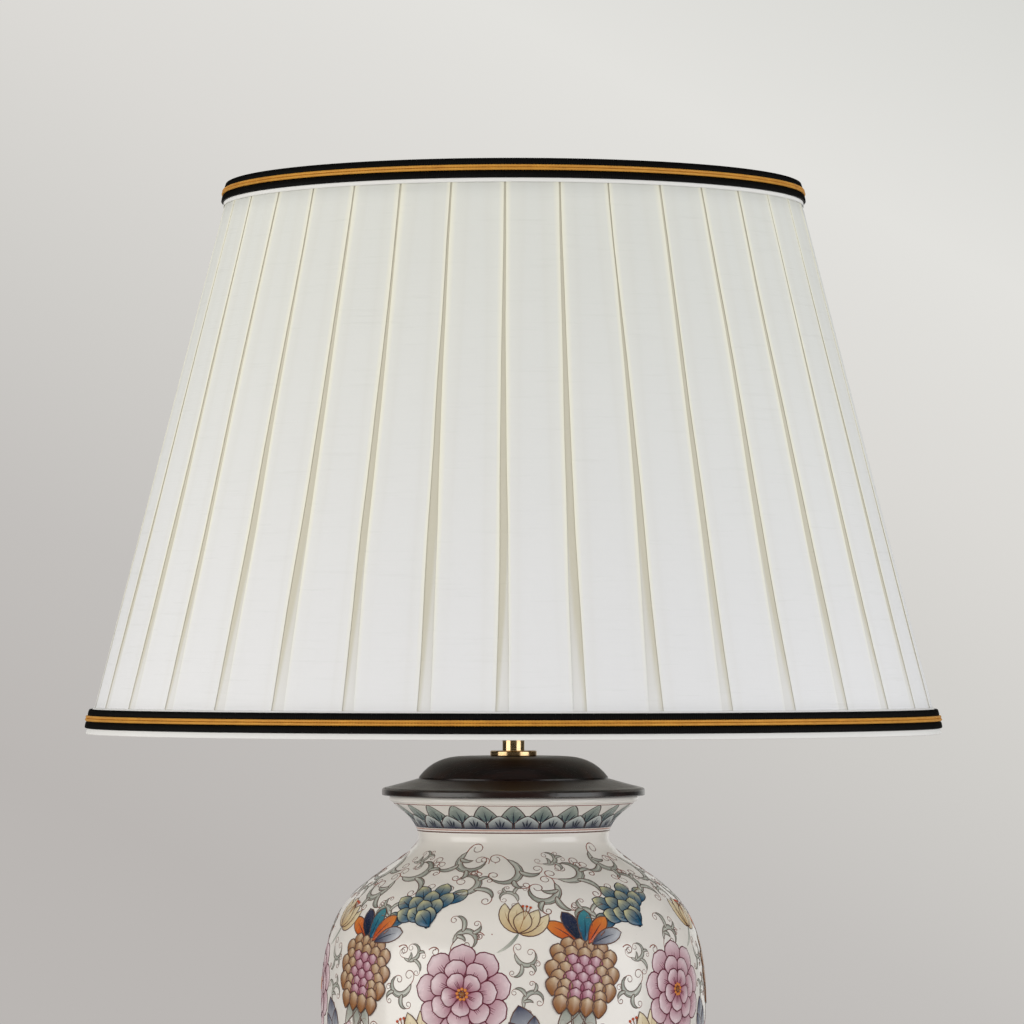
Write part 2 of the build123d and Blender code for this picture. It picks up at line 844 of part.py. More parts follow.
# Pleated cover: flat box pleats whose gaps widen towards the hem
def pleat_outline(z, gap):
    """Outline of the pleats at height z: a sunk floor for each gap, then a flat panel."""
    outer = shade_radius(z)
    floor = outer - pleat_depth
    half_gap = degrees(gap / 2 / outer)
    pitch = 360 / pleat_count
    points = []
    for pleat in range(pleat_count):
        gap_centre = pleat_phase + pleat * pitch
        corners = (
            (floor, gap_centre - half_gap),
            (floor, gap_centre + half_gap),
            (outer, gap_centre + half_gap),
            (outer, gap_centre + pitch - half_gap),
        )
        for radius, angle in corners:
            points.append((radius * cos(radians(angle)), radius * sin(radians(angle))))
    return points


with BuildPart() as pleated_cover:
    for level, gap in ((cover_bottom, pleat_gap_bottom), (cover_top, pleat_gap_top)):
        with BuildSketch(Plane.XY.offset(level)):
            with BuildLine():
                Polyline(*pleat_outline(level, gap), close=True)
            make_face()
    loft(ruled=True)
    with BuildSketch(Plane.XZ):
        with BuildLine():
            Polyline(
                (0, cover_bottom),
                (shade_radius(cover_bottom, cover_thickness), cover_bottom),
                (shade_radius(cover_top, cover_thickness), cover_top),
                (0, cover_top),
                close=True,
            )
        make_face()
    revolve(axis=Axis.Z, mode=Mode.SUBTRACT)
keep(pleated_cover, "pleated_cover")

# Bindings: cloth folded over the two edges, under the braid outside and over the lining inside
braid_rise = braid_height * cos(shade_slope)
top_braid_bottom = shade_top - braid_rise
bottom_braid_bottom = hem_z + hem_drop


def make_binding(name, edge_z, inward, thickness, outer_leg):
    """Binding folded over the edge at edge_z; inward is +1 at the hem and -1 at the top."""
    fold_z = edge_z + inward * thickness
    outer_end = edge_z + inward * outer_leg
    inner_end = edge_z + inward * binding_inner_leg
    outside = -cloth_clearance
    with BuildPart() as binding:
        with BuildSketch(Plane.XZ):
            with BuildLine():
                Polyline(
                    (shade_radius(edge_z, outside - thickness), edge_z),
                    (shade_radius(outer_end, outside - thickness), outer_end),
                    (shade_radius(outer_end, outside), outer_end),
                    (shade_radius(fold_z, outside), fold_z),
                    (shade_radius(fold_z, inner_leg_inset), fold_z),
                    (shade_radius(inner_end, inner_leg_inset), inner_end),
                    (shade_radius(inner_end, inner_leg_inset + thickness), inner_end),
                    (shade_radius(edge_z, inner_leg_inset + thickness), edge_z),
                    close=True,
                )
            make_face()
        revolve(axis=Axis.Z)
        if inward < 0:
            extrude(arm_notches.sketch, amount=notch_height, mode=Mode.SUBTRACT)
    keep(binding, name)


top_outer_leg = braid_rise + binding_margin_top
bottom_outer_leg = hem_drop + braid_rise + binding_margin_bottom
make_binding("top_binding", shade_top, -1, top_binding_thickness, top_outer_leg)
make_binding("bottom_binding", hem_z, 1, bottom_binding_thickness, bottom_outer_leg)


# Braid: a black band with two rounded ribs and a gold twin cord between them
def braid_plane(bottom_z, thickness):
    """Plane of the braid's section: local x stands off the shade, local y runs up its slope."""
    middle_z = bottom_z + braid_rise / 2
    foot = shade_radius(middle_z, -2 * cloth_clearance - thickness)
    return Plane(
        origin=(foot, 0, middle_z),
        x_dir=(cos(shade_slope), 0, sin(shade_slope)),
        z_dir=(0, -1, 0),
    )


def make_braid(place, bottom_z, binding_thickness):
    """Black band and gold cord round the shade, lying on a binding of the given thickness."""
    plane = braid_plane(bottom_z, binding_thickness)
    channel = 4 * gold_cord_radius + 2 * cord_gap
    rib_height = (braid_height - channel) / 2
    rib_middle = (channel + rib_height) / 2
    with BuildPart() as braid:
        with BuildSketch(plane):
            with Locations((braid_web / 2, 0)):
                Rectangle(braid_web, braid_height - 2 * braid_lobe_round)
            with Locations((braid_thickness / 2, -rib_middle), (braid_thickness / 2, rib_middle)):
                RectangleRounded(braid_thickness, rib_height, braid_lobe_round)
        revolve(axis=Axis.Z)
    keep(braid, f"{place}_braid")
    with BuildPart() as gold_cord:
        with BuildSketch(plane):
            cord_x = braid_web + cord_gap + gold_cord_radius
            cord_y = gold_cord_radius - cord_press
            with Locations((cord_x, -cord_y), (cord_x, cord_y)):
                Circle(gold_cord_radius)
        revolve(axis=Axis.Z)
    keep(gold_cord, f"{place}_gold_cord")


make_braid("top", top_braid_bottom, top_binding_thickness)
make_braid("bottom", bottom_braid_bottom, bottom_binding_thickness)
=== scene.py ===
# %% [markdown]
# # A ceramic table lamp with a box-pleated shade
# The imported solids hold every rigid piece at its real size. This lesson adds what solids say badly:
# folded cloth, woven braid, painted enamel and the finish of each surface. Lengths are in metres,
# +Z is up and the front of the lamp faces -Y.

# %% Load the frame
import math

import bpy
import numpy as np
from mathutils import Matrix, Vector


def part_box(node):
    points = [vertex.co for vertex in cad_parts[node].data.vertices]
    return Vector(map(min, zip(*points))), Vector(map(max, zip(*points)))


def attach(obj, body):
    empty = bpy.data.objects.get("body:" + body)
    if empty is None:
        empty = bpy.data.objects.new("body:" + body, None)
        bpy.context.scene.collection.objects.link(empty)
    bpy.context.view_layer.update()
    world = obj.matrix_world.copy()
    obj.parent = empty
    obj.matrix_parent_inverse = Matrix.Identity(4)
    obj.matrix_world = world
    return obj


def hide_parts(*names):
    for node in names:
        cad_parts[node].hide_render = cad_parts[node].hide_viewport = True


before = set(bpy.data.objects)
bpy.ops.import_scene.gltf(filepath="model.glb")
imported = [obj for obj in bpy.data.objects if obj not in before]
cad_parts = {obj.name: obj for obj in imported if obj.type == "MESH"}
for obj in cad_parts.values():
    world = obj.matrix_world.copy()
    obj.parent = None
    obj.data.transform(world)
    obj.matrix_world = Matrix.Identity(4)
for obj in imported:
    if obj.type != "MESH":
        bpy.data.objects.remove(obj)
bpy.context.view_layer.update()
MM = 0.001

# %% [markdown]
# ## One way to write node trees
# Shader and geometry trees are both nets of nodes. A small class wraps a socket, so that arithmetic
# on it adds Math nodes, and one method makes every other node. Writing `1 - mask` is easier to read
# and to change than six lines that place and link nodes.


# %% Nodes from Python expressions
class Value:
    """A socket of a node tree that takes part in Python arithmetic."""

    def __init__(self, net, socket):
        self.net = net
        self.socket = socket

    def __add__(self, other):
        return self.net.math("ADD", self, other)

    def __sub__(self, other):
        return self.net.math("SUBTRACT", self, other)

    def __rsub__(self, other):
        return self.net.math("SUBTRACT", other, self)

    def __mul__(self, other):
        return self.net.math("MULTIPLY", self, other)

    def __truediv__(self, other):
        return self.net.math("DIVIDE", self, other)

    def __rtruediv__(self, other):
        return self.net.math("DIVIDE", other, self)

    __radd__ = __add__
    __rmul__ = __mul__


class Net:
    """A node tree that is filled by calls."""

    def __init__(self, tree):
        self.tree = tree

    def node(self, kind, settings=None, inputs=None, output=0):
        """Add a node, set its settings first, then its sockets, and return one output."""
        made = self.tree.nodes.new(kind)
        for name, value in (settings or {}).items():
            if name == "stops":
                self.set_stops(made.color_ramp, value)
            else:
                setattr(made, name, value)
        for key, value in (inputs or {}).items():
            if isinstance(value, Value):
                self.tree.links.new(value.socket, made.inputs[key])
            else:
                made.inputs[key].default_value = value
        return Value(self, made.outputs[output]) if len(made.outputs) else made

    def set_stops(self, ramp, stops):
        """Give a colour ramp its (place, colour) stops."""
        for place, colour in stops[2:]:
            ramp.elements.new(place)
        for element, (place, colour) in zip(ramp.elements, stops):
            element.position = place
            element.color = colour

    def math(self, operation, first, second):
        return self.node("ShaderNodeMath", {"operation": operation}, {0: first, 1: second})

    def mix(self, mask, first, second):
        """Blend two colours by a mask from 0 to 1."""
        return self.node("ShaderNodeMix", {"data_type": "RGBA"}, {0: mask, 6: first, 7: second}, 2)

    def vectors(self, operation, *given):
        """Arithmetic on whole vectors."""
        return self.node("ShaderNodeVectorMath", {"operation": operation}, dict(enumerate(given)))

    def scaled(self, vector, amount):
        """A vector times a number."""
        return self.node("ShaderNodeVectorMath", {"operation": "SCALE"}, {0: vector, "Scale": amount})

    def stretched(self, vector, scale):
        """Coordinates multiplied axis by axis, which stretches what is read from them."""
        return self.vectors("MULTIPLY", vector, scale)

    def part(self, vector, axis):
        """One axis of a vector as a number."""
        return self.node("ShaderNodeSeparateXYZ", None, {0: vector}, axis)

    def noise(self, vector, scale=1.0, detail=2.0):
        """Soft noise from 0 to 1 at the given coordinates."""
        return self.node("ShaderNodeTexNoise", None, {"Vector": vector, "Scale": scale, "Detail": detail})

    def steps(self, value, low, high):
        """A mask that rises from 0 to 1 between two values."""
        return self.node("ShaderNodeMapRange", {"interpolation_type": "SMOOTHSTEP"},
                         {"Value": value, "From Min": low, "From Max": high})


class Finish(Net):
    """A material with one Principled shader, whose constant sockets are named in the call."""

    def __init__(self, name, **sockets):
        self.material = bpy.data.materials.new(name)
        self.material.use_nodes = True
        super().__init__(self.material.node_tree)
        self.surface = self.tree.nodes["Principled BSDF"]
        for socket, value in sockets.items():
            self.surface.inputs[socket.replace("_", " ")].default_value = value
        self.place = self.node("ShaderNodeTexCoord", output="Object")

    def feed(self, **links):
        """Link values that change over the surface to the shader."""
        for socket, value in links.items():
            self.tree.links.new(value.socket, self.surface.inputs[socket.replace("_", " ")])

    def bump(self, height, depth):
        """Raise the surface by height, which is 0 to 1, times depth in millimetres."""
        self.feed(Normal=self.node("ShaderNodeBump", None, {"Height": height, "Distance": depth * MM}))

    def clouds(self, scale, detail=2.0):
        """Noise with the same grain per metre along every axis."""
        return self.noise(self.place, scale, detail)

    def streaks(self, scale, detail=2.0):
        """Noise with its own grain per metre along X, Y and Z."""
        return self.noise(self.stretched(self.place, scale), 1.0, detail)

    def attribute(self, name, output="Fac"):
        """A value that the mesh carries."""
        return self.node("ShaderNodeAttribute", {"attribute_name": name}, output=output)


def srgb(red, green, blue):
    """A display colour of 0 to 255 as the linear colour that shaders use."""
    parts = [c / 255 for c in (red, green, blue)]
    linear = [c / 12.92 if c < 0.04045 else ((c + 0.055) / 1.055) ** 2.4 for c in parts]
    return (*linear, 1.0)


print("colour test: mid grey 188 is", round(srgb(188, 188, 188)[0], 3), "in linear light")

# %% [markdown]
# ## Silk, cotton tape and felt
# The shade is covered in a slubbed silk: thin warp threads run up the pleats, and thicker, uneven
# weft threads run round. Noise that is stretched along one axis gives such threads without a seam,
# because it reads the position in the lamp. The silk is a little darker and yellower towards the top.
# The pleats carry two attributes: one paints a cream highlight on their edges, and one paints tan
# shade in the depth of their folds.


# %% Cloth finishes
def heights_of(node):
    """Lowest and highest point of a CAD node."""
    return [corner.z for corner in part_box(node)]


cover_low, cover_high = heights_of("pleated_cover")
top_tint = (0.918, 0.927, 0.866)
warp_threads = (1500, 1500, 25)
weft_threads = (40, 40, 1300)
slub_threads = (28, 28, 620)


def woven(name, pale, shade, slub, edge=None, deep=None):
    """Plain-woven cloth with slubs round the lamp; pleats take a painted highlight on edges and painted
    shade in folds.
    """
    cloth = Finish(name, Specular_IOR_Level=0.2, Sheen_Weight=0.15, Sheen_Roughness=0.4)
    warp = cloth.streaks(warp_threads, 1.0)
    weft = cloth.streaks(weft_threads, 1.0)
    slubs = cloth.steps(cloth.streaks(slub_threads), 0.56, 0.78)
    broad = cloth.clouds(14.0)
    thread = (warp + weft) * 0.25 + slubs * slub
    colour = cloth.mix(thread * 0.55 + broad * 0.35, pale, shade)
    if deep:
        # The silk turns a little darker and yellower towards the top.
        rise = cloth.steps(cloth.part(cloth.place, "Z"), cover_low, cover_high)
        colour = cloth.mix(rise, colour, cloth.stretched(colour, top_tint))
        # Painted highlight in cream on the pleats' edges, and painted shade in tan in their folds.
        for layer, tone in (("edge", edge), ("fold", deep)):
            colour = cloth.mix(cloth.attribute(layer), colour, tone)
    cloth.feed(Base_Color=colour, Roughness=0.86 - slubs * 0.18)
    cloth.bump(thread, 0.12)
    return cloth.material


# The last two tones are a painted highlight for the pleats' edges and a painted shade for their folds.
silk = woven("slubbed_silk", srgb(242, 242, 243), srgb(234, 234, 234), 0.5, srgb(252, 249, 228),
             srgb(214, 209, 191))
lining_cotton = woven("lining_cotton", srgb(240, 239, 234), srgb(231, 230, 224), 0.2)
tape_cotton = woven("tape_cotton", srgb(246, 245, 242), srgb(237, 236, 232), 0.1)


def felted(name, dark, light):
    """Pressed wool: short fibres in every direction, matt and a little uneven."""
    wool = Finish(name, Roughness=0.95, Specular_IOR_Level=0.1, Sheen_Weight=0.3)
    fibre = wool.clouds(1400.0, 4.0)
    wool.feed(Base_Color=wool.mix(fibre * 0.7 + wool.clouds(60.0) * 0.3, dark, light))
    wool.bump(fibre, 0.4)
    return wool.material


felt = felted("pressed_felt", srgb(20, 19, 18), srgb(62, 58, 54))
print("cloth:", silk.name, lining_cotton.name, tape_cotton.name, felt.name)

# %% [markdown]
# ## Black braid and gold cord
# The trim is a ribbed black braid with a twisted gold cord along its middle. The ribs and the twist
# are modelled further down, so the finishes only carry the thread: a dull black yarn with a brown
# cast, and a rayon whose threads catch the light unevenly.


# %% Trim finishes
def yarn(name, deep, bright, threads, **sockets):
    """Thread seen close up: fine streaks round the lamp between a deep and a bright tone."""
    spun = Finish(name, **sockets)
    fine = spun.streaks((220, 220, threads))
    patch = spun.clouds(90.0)
    spun.feed(Base_Color=spun.mix(fine * 0.6 + patch * 0.4, deep, bright), Roughness=0.72 - fine * 0.3)
    spun.bump(fine, 0.15)
    return spun.material


black_yarn = yarn("black_yarn", srgb(3, 3, 3), srgb(14, 13, 11), 2600, Specular_IOR_Level=0.1)
gold_rayon = yarn("gold_rayon", srgb(160, 88, 10), srgb(255, 192, 74), 3200, Metallic=0.15,
                  Specular_IOR_Level=0.6)
print("trim:", black_yarn.name, gold_rayon.name)

# %% [markdown]
# ## Glaze and enamel
# The jar is white porcelain under a clear glaze, which pools slightly, so its tone drifts from warm
# to cool grey and its gloss is not quite even. The decoration is painted in enamels over the glaze.
# Each stroke is real geometry with its own colours in an attribute, so one enamel finish serves all.

# %% Porcelain finishes
speck_grey = srgb(150, 140, 128)
dense_share = (0.8, 0.8, 0.81)


def glazed(name, pale, cool):
    """White porcelain under a glossy glaze with a faint ripple."""
    ware = Finish(name, Specular_IOR_Level=0.5, Coat_Roughness=0.06)
    pool = ware.clouds(22.0, 3.0)
    speck = ware.steps(ware.clouds(900.0, 1.0), 0.76, 0.82)
    colour = ware.mix(pool, pale, cool)
    ware.feed(Base_Color=ware.mix(speck * 0.25, colour, speck_grey), Roughness=0.14 + pool * 0.1)
    ware.feed(Coat_Weight=0.2 + pool * 0.25)
    ware.bump(ware.clouds(70.0), 0.12)
    return ware.material


glaze = glazed("porcelain_glaze", srgb(247, 241, 232), srgb(236, 232, 227))


def painted(name):
    """Overglaze enamel: the colour of each stroke, thicker and thinner with the brush."""
    paint = Finish(name, Specular_IOR_Level=0.5)
    colour = paint.attribute("paint", "Color")
    wash = paint.clouds(420.0, 3.0)
    dense = paint.stretched(colour, dense_share)
    paint.feed(Base_Color=paint.mix(wash * 0.9, dense, colour), Roughness=0.2 + wash * 0.12)
    paint.bump(wash, 0.08)
    return paint.material


enamel = painted("overglaze_enamel")
print("porcelain:", glaze.name, enamel.name)

# %% [markdown]
# ## Dark wood
# The lid and the plinth are turned from a plank, so the grain runs across them in one direction and
# shows as long dark streaks with short open pores. Lacquer gathers on the upright edges, which have the
# brightest highlights. It thins out on the lid's slope and is rubbed off the dome.

# %% Wood finish
jar_low, jar_high = heights_of("jar")
lid_edge_height = 4.1 * MM
lid_slope_height = 5.5 * MM
lid_edge_top = jar_high + lid_edge_height
lid_slope_top = lid_edge_top + lid_slope_height
slope_lacquer = 0.45
lacquer_fade = 0.6 * MM
grain_streaks = (7, 150, 150)
pore_streaks = (70, 1300, 1300)
pore_black = srgb(9, 6, 4)


def turned_wood(name, dark, brown):
    """Dark stained wood with grain along X, whose lacquer thins out up the lid."""
    wood = Finish(name, Specular_IOR_Level=0.2, Coat_Roughness=0.26)
    warped = wood.clouds(9.0)
    streak = wood.streaks(grain_streaks, 4.0)
    pore = wood.steps(wood.streaks(pore_streaks, 1.0), 0.62, 0.7)
    tone = wood.steps(streak * 0.8 + warped * 0.2, 0.38, 0.68)
    colour = wood.mix(tone * 0.75, dark, brown)
    wood.feed(Base_Color=wood.mix(pore * 0.6, colour, pore_black), Roughness=0.26 + streak * 0.1)
    height = wood.part(wood.place, "Z")
    thinner = wood.steps(height, lid_edge_top, lid_edge_top + lacquer_fade) * (1 - slope_lacquer)
    rubbed = wood.steps(height, lid_slope_top - lacquer_fade, lid_slope_top) * slope_lacquer
    wood.feed(Coat_Weight=(1 - pore * 0.5) * (1 - thinner - rubbed))
    wood.bump(1 - pore, 0.06)
    return wood.material


dark_wood = turned_wood("dark_wood", srgb(13, 5, 3), srgb(43, 18, 10))
print("wood:", dark_wood.name)

# %% [markdown]
# ## Metals
# Brass shows on the check ring and the neck, steel on the clamp inside the plinth and nickel on the
# bulb's cap. All were turned or drawn, so fine rings run round the axis: noise that is squeezed along
# Z gives them. A tarnish mask changes the tint and the gloss together.

# %% Metal finishes
lathe_rings = 2400


def turned_metal(name, bright, tarnish, gloss):
    """Metal with fine rings round the lamp's axis and a breath of tarnish."""
    metal = Finish(name, Metallic=1.0)
    ring = metal.streaks((30, 30, lathe_rings))
    dull = metal.steps(metal.clouds(55.0, 3.0), 0.42, 0.75)
    metal.feed(Base_Color=metal.mix(dull * 0.6 + ring * 0.15, bright, tarnish))
    metal.feed(Roughness=gloss + dull * 0.1 + ring * 0.07)
    metal.bump(ring, 0.02)
    return metal.material


brass = turned_metal("polished_brass", srgb(218, 190, 146), srgb(150, 104, 50), 0.11)
steel = turned_metal("zinc_steel", srgb(186, 188, 190), srgb(128, 126, 120), 0.3)
nickel = turned_metal("nickel_plate", srgb(212, 208, 200), srgb(158, 152, 142), 0.22)
print("metals:", brass.name, steel.name, nickel.name)

# %% [markdown]
# ## Small plain pieces
# The frame wire is powder coated, the lampholder's inside is moulded and lined with fibre, the bulb
# is opal glass and the jar stands on cork. They share one recipe: two tones mixed by a noise of the
# right grain, and a bump of the same grain.


# %% Plain finishes
def grained(name, first, second, grain, depth, rough, **sockets):
    """Two tones mixed by a noise of the given grain per metre, with a bump of the same grain."""
    plain = Finish(name, **sockets)
    grit = plain.clouds(grain, 3.0)
    cloud = plain.clouds(grain / 12)
    plain.feed(Base_Color=plain.mix(grit * 0.6 + cloud * 0.4, first, second))
    plain.feed(Roughness=rough + cloud * 0.12)
    plain.bump(grit, depth)
    return plain.material


wire_paint = grained("powder_coat", srgb(238, 236, 230), srgb(222, 220, 212), 900.0, 0.06, 0.4)
phenolic = grained("moulded_phenolic", srgb(36, 26, 21), srgb(54, 41, 33), 420.0, 0.04, 0.32)
black_plastic = grained("black_plastic", srgb(18, 18, 18), srgb(36, 36, 36), 1100.0, 0.05, 0.45)
fibre = grained("pressed_fibre", srgb(98, 80, 60), srgb(132, 110, 84), 700.0, 0.1, 0.8)
cork = grained("cork", srgb(148, 104, 64), srgb(206, 164, 116), 420.0, 0.3, 0.85)
opal = grained("opal_glass", srgb(246, 246, 242), srgb(238, 239, 238), 40.0, 0.01, 0.2,
               Coat_Weight=0.3, Coat_Roughness=0.08)
plain_finishes = (wire_paint, phenolic, black_plastic, fibre, cork, opal)
print("plain finishes:", ", ".join(finish.name for finish in plain_finishes))

# %% [markdown]
# ## Dress the solids
# Rigid pieces keep their solids and only take a finish. Cloth, braid and cord are left out of this
# table, because pieces made further down stand for their solids.

# %% Finishes on the CAD nodes
node_finishes = {
    dark_wood: ("plinth", "lid"),
    glaze: ("jar",),
    cork: ("jar_seat",),
    black_plastic: ("cord_bush",),
    steel: ("rod", "base_nut", "base_washer"),
    brass: ("check_ring", "neck_tube", "harp_saddle", "harp", "socket_cap", "socket_shell", "switch_stem",
            "ferrule_left", "ferrule_right", "swivel_stud", "finial"),
    fibre: ("socket_liner",),
    phenolic: ("socket_body", "switch_knob"),
    nickel: ("screw_shell", "centre_contact", "bulb_cap", "bulb_contact"),
    opal: ("bulb_glass",),
    wire_paint: ("spider", "top_ring", "bottom_ring", "struts"),
}
for material, names in node_finishes.items():
    for name in names:
        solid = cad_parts[name].data
        solid.materials.clear()
        solid.materials.append(material)
print("dressed solids:", sum(len(names) for names in node_finishes.values()))

# %% [markdown]
# ## Copies round the axis
# A lamp repeats things round its axis: 36 pleats, over a thousand ribs of braid, the lappets of a
# painted border. One Geometry Nodes tree serves them all. It sets instances of the piece on points at
# the axis, turns each by its index, realizes and welds them, and moves the result a little by noise,
# so that handwork does not look stamped. Its result is kept as a plain mesh.

# %% The turning tree
drift_circle = 0.2
drift_rise = 0.06


def turning_tree():
    """Geometry Nodes that turn copies of a piece round the lamp's axis.

    The noise is read on a circle of its own radius, and more slowly along the height.
    """
    tree = bpy.data.node_groups.new("turned_copies", "GeometryNodeTree")
    sockets = (("Piece", "Geometry"), ("Copies", "Int"), ("Weld", "Float"), ("Sway", "Float"),
               ("Swell", "Float"), ("Patches", "Float"), ("Seed", "Int"), ("Finish", "Material"))
    for name, kind in sockets:
        tree.interface.new_socket(name, in_out="INPUT", socket_type="NodeSocket" + kind)
    tree.interface.new_socket("Ring", in_out="OUTPUT", socket_type="NodeSocketGeometry")
    net = Net(tree)
    start = tree.nodes.new("NodeGroupInput")
    given = {name: Value(net, start.outputs[name]) for name, kind in sockets}
    points = net.node("GeometryNodePoints", None, {"Count": given["Copies"]})
    turn = net.node("GeometryNodeInputIndex") * math.tau / given["Copies"]
    rotation = net.node("ShaderNodeCombineXYZ", None, {"Z": turn})
    copies = net.node("GeometryNodeInstanceOnPoints", None,
                      {"Points": points, "Instance": given["Piece"], "Rotation": rotation})
    whole = net.node("GeometryNodeRealizeInstances", None, {0: copies})
    welded = net.node("GeometryNodeMergeByDistance", None, {"Geometry": whole, "Distance": given["Weld"]})
    position = net.node("GeometryNodeInputPosition")
    outward = net.vectors("NORMALIZE", net.stretched(position, (1, 1, 0)))
    sideways = net.vectors("CROSS_PRODUCT", (0, 0, 1), outward)
    upright = net.stretched(position, (0, 0, drift_rise))
    round_and_up = net.vectors("ADD", net.scaled(outward, drift_circle), upright)
    drift = net.node("ShaderNodeTexNoise", {"noise_dimensions": "4D"},
                     {"Vector": round_and_up, "W": given["Seed"], "Scale": given["Patches"]}, "Color")
    aside = (net.part(drift, "X") - 0.5) * given["Sway"]
    out = (net.part(drift, "Y") - 0.5) * given["Swell"]
    move = net.vectors("ADD", net.scaled(sideways, aside), net.scaled(outward, out))
    moved = net.node("GeometryNodeSetPosition", None, {"Geometry": welded, "Offset": move})
    done = net.node("GeometryNodeSetMaterial", None, {"Geometry": moved, "Material": given["Finish"]})
    end = tree.nodes.new("NodeGroupOutput")
    tree.links.new(done.socket, end.inputs["Ring"])
    return tree


turning = turning_tree()
turning_inputs = {item.name: item.identifier for item in turning.interface.items_tree
                  if item.in_out == "INPUT"}
print("turning tree:", len(turning.nodes), "nodes, inputs", ", ".join(turning_inputs))

# %% [markdown]
# ## Grids of points
# Cloth, tape, trim, paint and floor are all grids of points: rows along a section and columns round the
# axis. One helper sets the points, one joins them with faces, and a few more turn a mesh into a piece.


# %% Points and faces
def even_angles(count):
    """Angles of even steps round the axis."""
    return np.arange(count) * math.tau / count


def round_axis(radius, height, angle):
    """Points at radii, heights and angles round the lamp's axis."""
    radius, height, angle = np.broadcast_arrays(radius, height, angle)
    return np.stack([radius * np.cos(angle), radius * np.sin(angle), height], -1)


def grid_faces(rows, columns, rows_close=False, columns_close=False, flip=False):
    """Faces between the points of a grid, which may close on itself and face either way."""
    at = np.arange(rows * columns).reshape(rows, columns)
    if rows_close:
        at = np.concatenate([at, at[:1]])
    if columns_close:
        at = np.concatenate([at, at[:, :1]], 1)
    faces = np.stack([at[:-1, :-1], at[:-1, 1:], at[1:, 1:], at[1:, :-1]], -1).reshape(-1, 4)
    return faces[:, [0, 3, 2, 1]] if flip else faces


print("faces of a closed ring of 2 by 6 points:", len(grid_faces(2, 6, columns_close=True)))


# %% Pieces from points and modifiers
def mesh_of(name, points, faces):
    """A smooth mesh from points and faces."""
    mesh = bpy.data.meshes.new(name)
    mesh.from_pydata(np.asarray(points, float).tolist(), [], faces)
    mesh.polygons.foreach_set("use_smooth", np.ones(len(mesh.polygons), bool))
    mesh.update()
    return mesh


def piece_of(name, mesh):
    """A scene object at the origin that shows a mesh."""
    piece = bpy.data.objects.new(name, mesh)
    bpy.context.scene.collection.objects.link(piece)
    return piece


def settle(piece):
    """Keep the result of a piece's modifiers as its plain mesh."""
    graph = bpy.context.evaluated_depsgraph_get()
    made = bpy.data.meshes.new_from_object(piece.evaluated_get(graph), preserve_all_data_layers=True,
                                           depsgraph=graph)
    spare = piece.data
    piece.modifiers.clear()
    piece.data = made
    bpy.data.meshes.remove(spare)
    made.name = piece.name
    return piece


def thicken(sheet, thickness):
    """Give a sheet its thickness, inwards."""
    modifier = sheet.modifiers.new("cloth", "SOLIDIFY")
    modifier.thickness = thickness
    modifier.offset = -1.0
    return settle(sheet)


def turned(name, mesh, copies, finish, weld=0.0, sway=0.0, swell=0.0, patches=30.0, seed=1):
    """Copies of a mesh turned round the axis, as one plain mesh."""
    piece = piece_of(name, mesh)
    modifier = piece.modifiers.new("turned_copies", "NODES")
    modifier.node_group = turning
    values = {"Copies": copies, "Weld": weld, "Sway": sway, "Swell": swell, "Patches": patches,
              "Seed": seed, "Finish": finish}
    for socket, value in values.items():
        modifier[turning_inputs[socket]] = value
    return settle(piece)


def triangles(piece):
    return sum(len(face.vertices) - 2 for face in piece.data.polygons)


def give(piece, body, slot, *nodes):
    """Let a piece ride on its body and stand for its CAD nodes. The slot is not used."""
    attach(piece, body)
    if nodes:
        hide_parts(*nodes)
    print(piece.name, "rides on", body, "with", triangles(piece), "triangles")


# %% [markdown]
# ## The camera
# The photograph was taken from the lamp's height with a long lens, so the shade's rings show as flat
# ellipses. The camera comes first.

# %% Camera
lamp_view = bpy.data.cameras.new("lamp_view")
lamp_view.sensor_width = 36.0
lamp_view.lens = 180.5
camera = bpy.data.objects.new("lamp_view", lamp_view)
camera.location = (0.0, -2.75, 0.4248)
aim = Vector((-0.0008, 0.0, 0.5014))
camera.rotation_euler = (aim - camera.location).to_track_quat("-Z", "Y").to_euler()
bpy.context.scene.collection.objects.link(camera)
bpy.context.scene.camera = camera
bpy.context.scene.view_settings.view_transform = "Standard"
print("camera tilt:", round(math.degrees(camera.rotation_euler.x) - 90, 2), "degrees up")

# %% [markdown]
# ## The shade's cone
# Every layer of the shade lies on the same cone, moved in a little. Its two edge radii are read from
# the solids, so the cloth follows the frame if the solids change size.

# %% Cone of the shade
near_height = 0.2 * MM


def corners_of(node):
    """Radius and height of each corner of a CAD node."""
    corners = np.array([corner.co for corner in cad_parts[node].data.vertices])
    return np.stack([np.hypot(corners[:, 0], corners[:, 1]), corners[:, 2]], 1)


def ring_radius(node, height):
    """Largest radius of a CAD node near a height."""
    radii, heights = corners_of(node).T
    return float(radii[np.abs(heights - height) < near_height].max())


cover_low_radius = ring_radius("pleated_cover", cover_low)
cover_high_radius = ring_radius("pleated_cover", cover_high)
slope = (cover_low_radius - cover_high_radius) / (cover_high - cover_low)


def cone_radius(height, inset=0.0):
    """Radius of the shade's outer face at a height, moved in by inset."""
    return cover_low_radius - slope * (height - cover_low) - inset
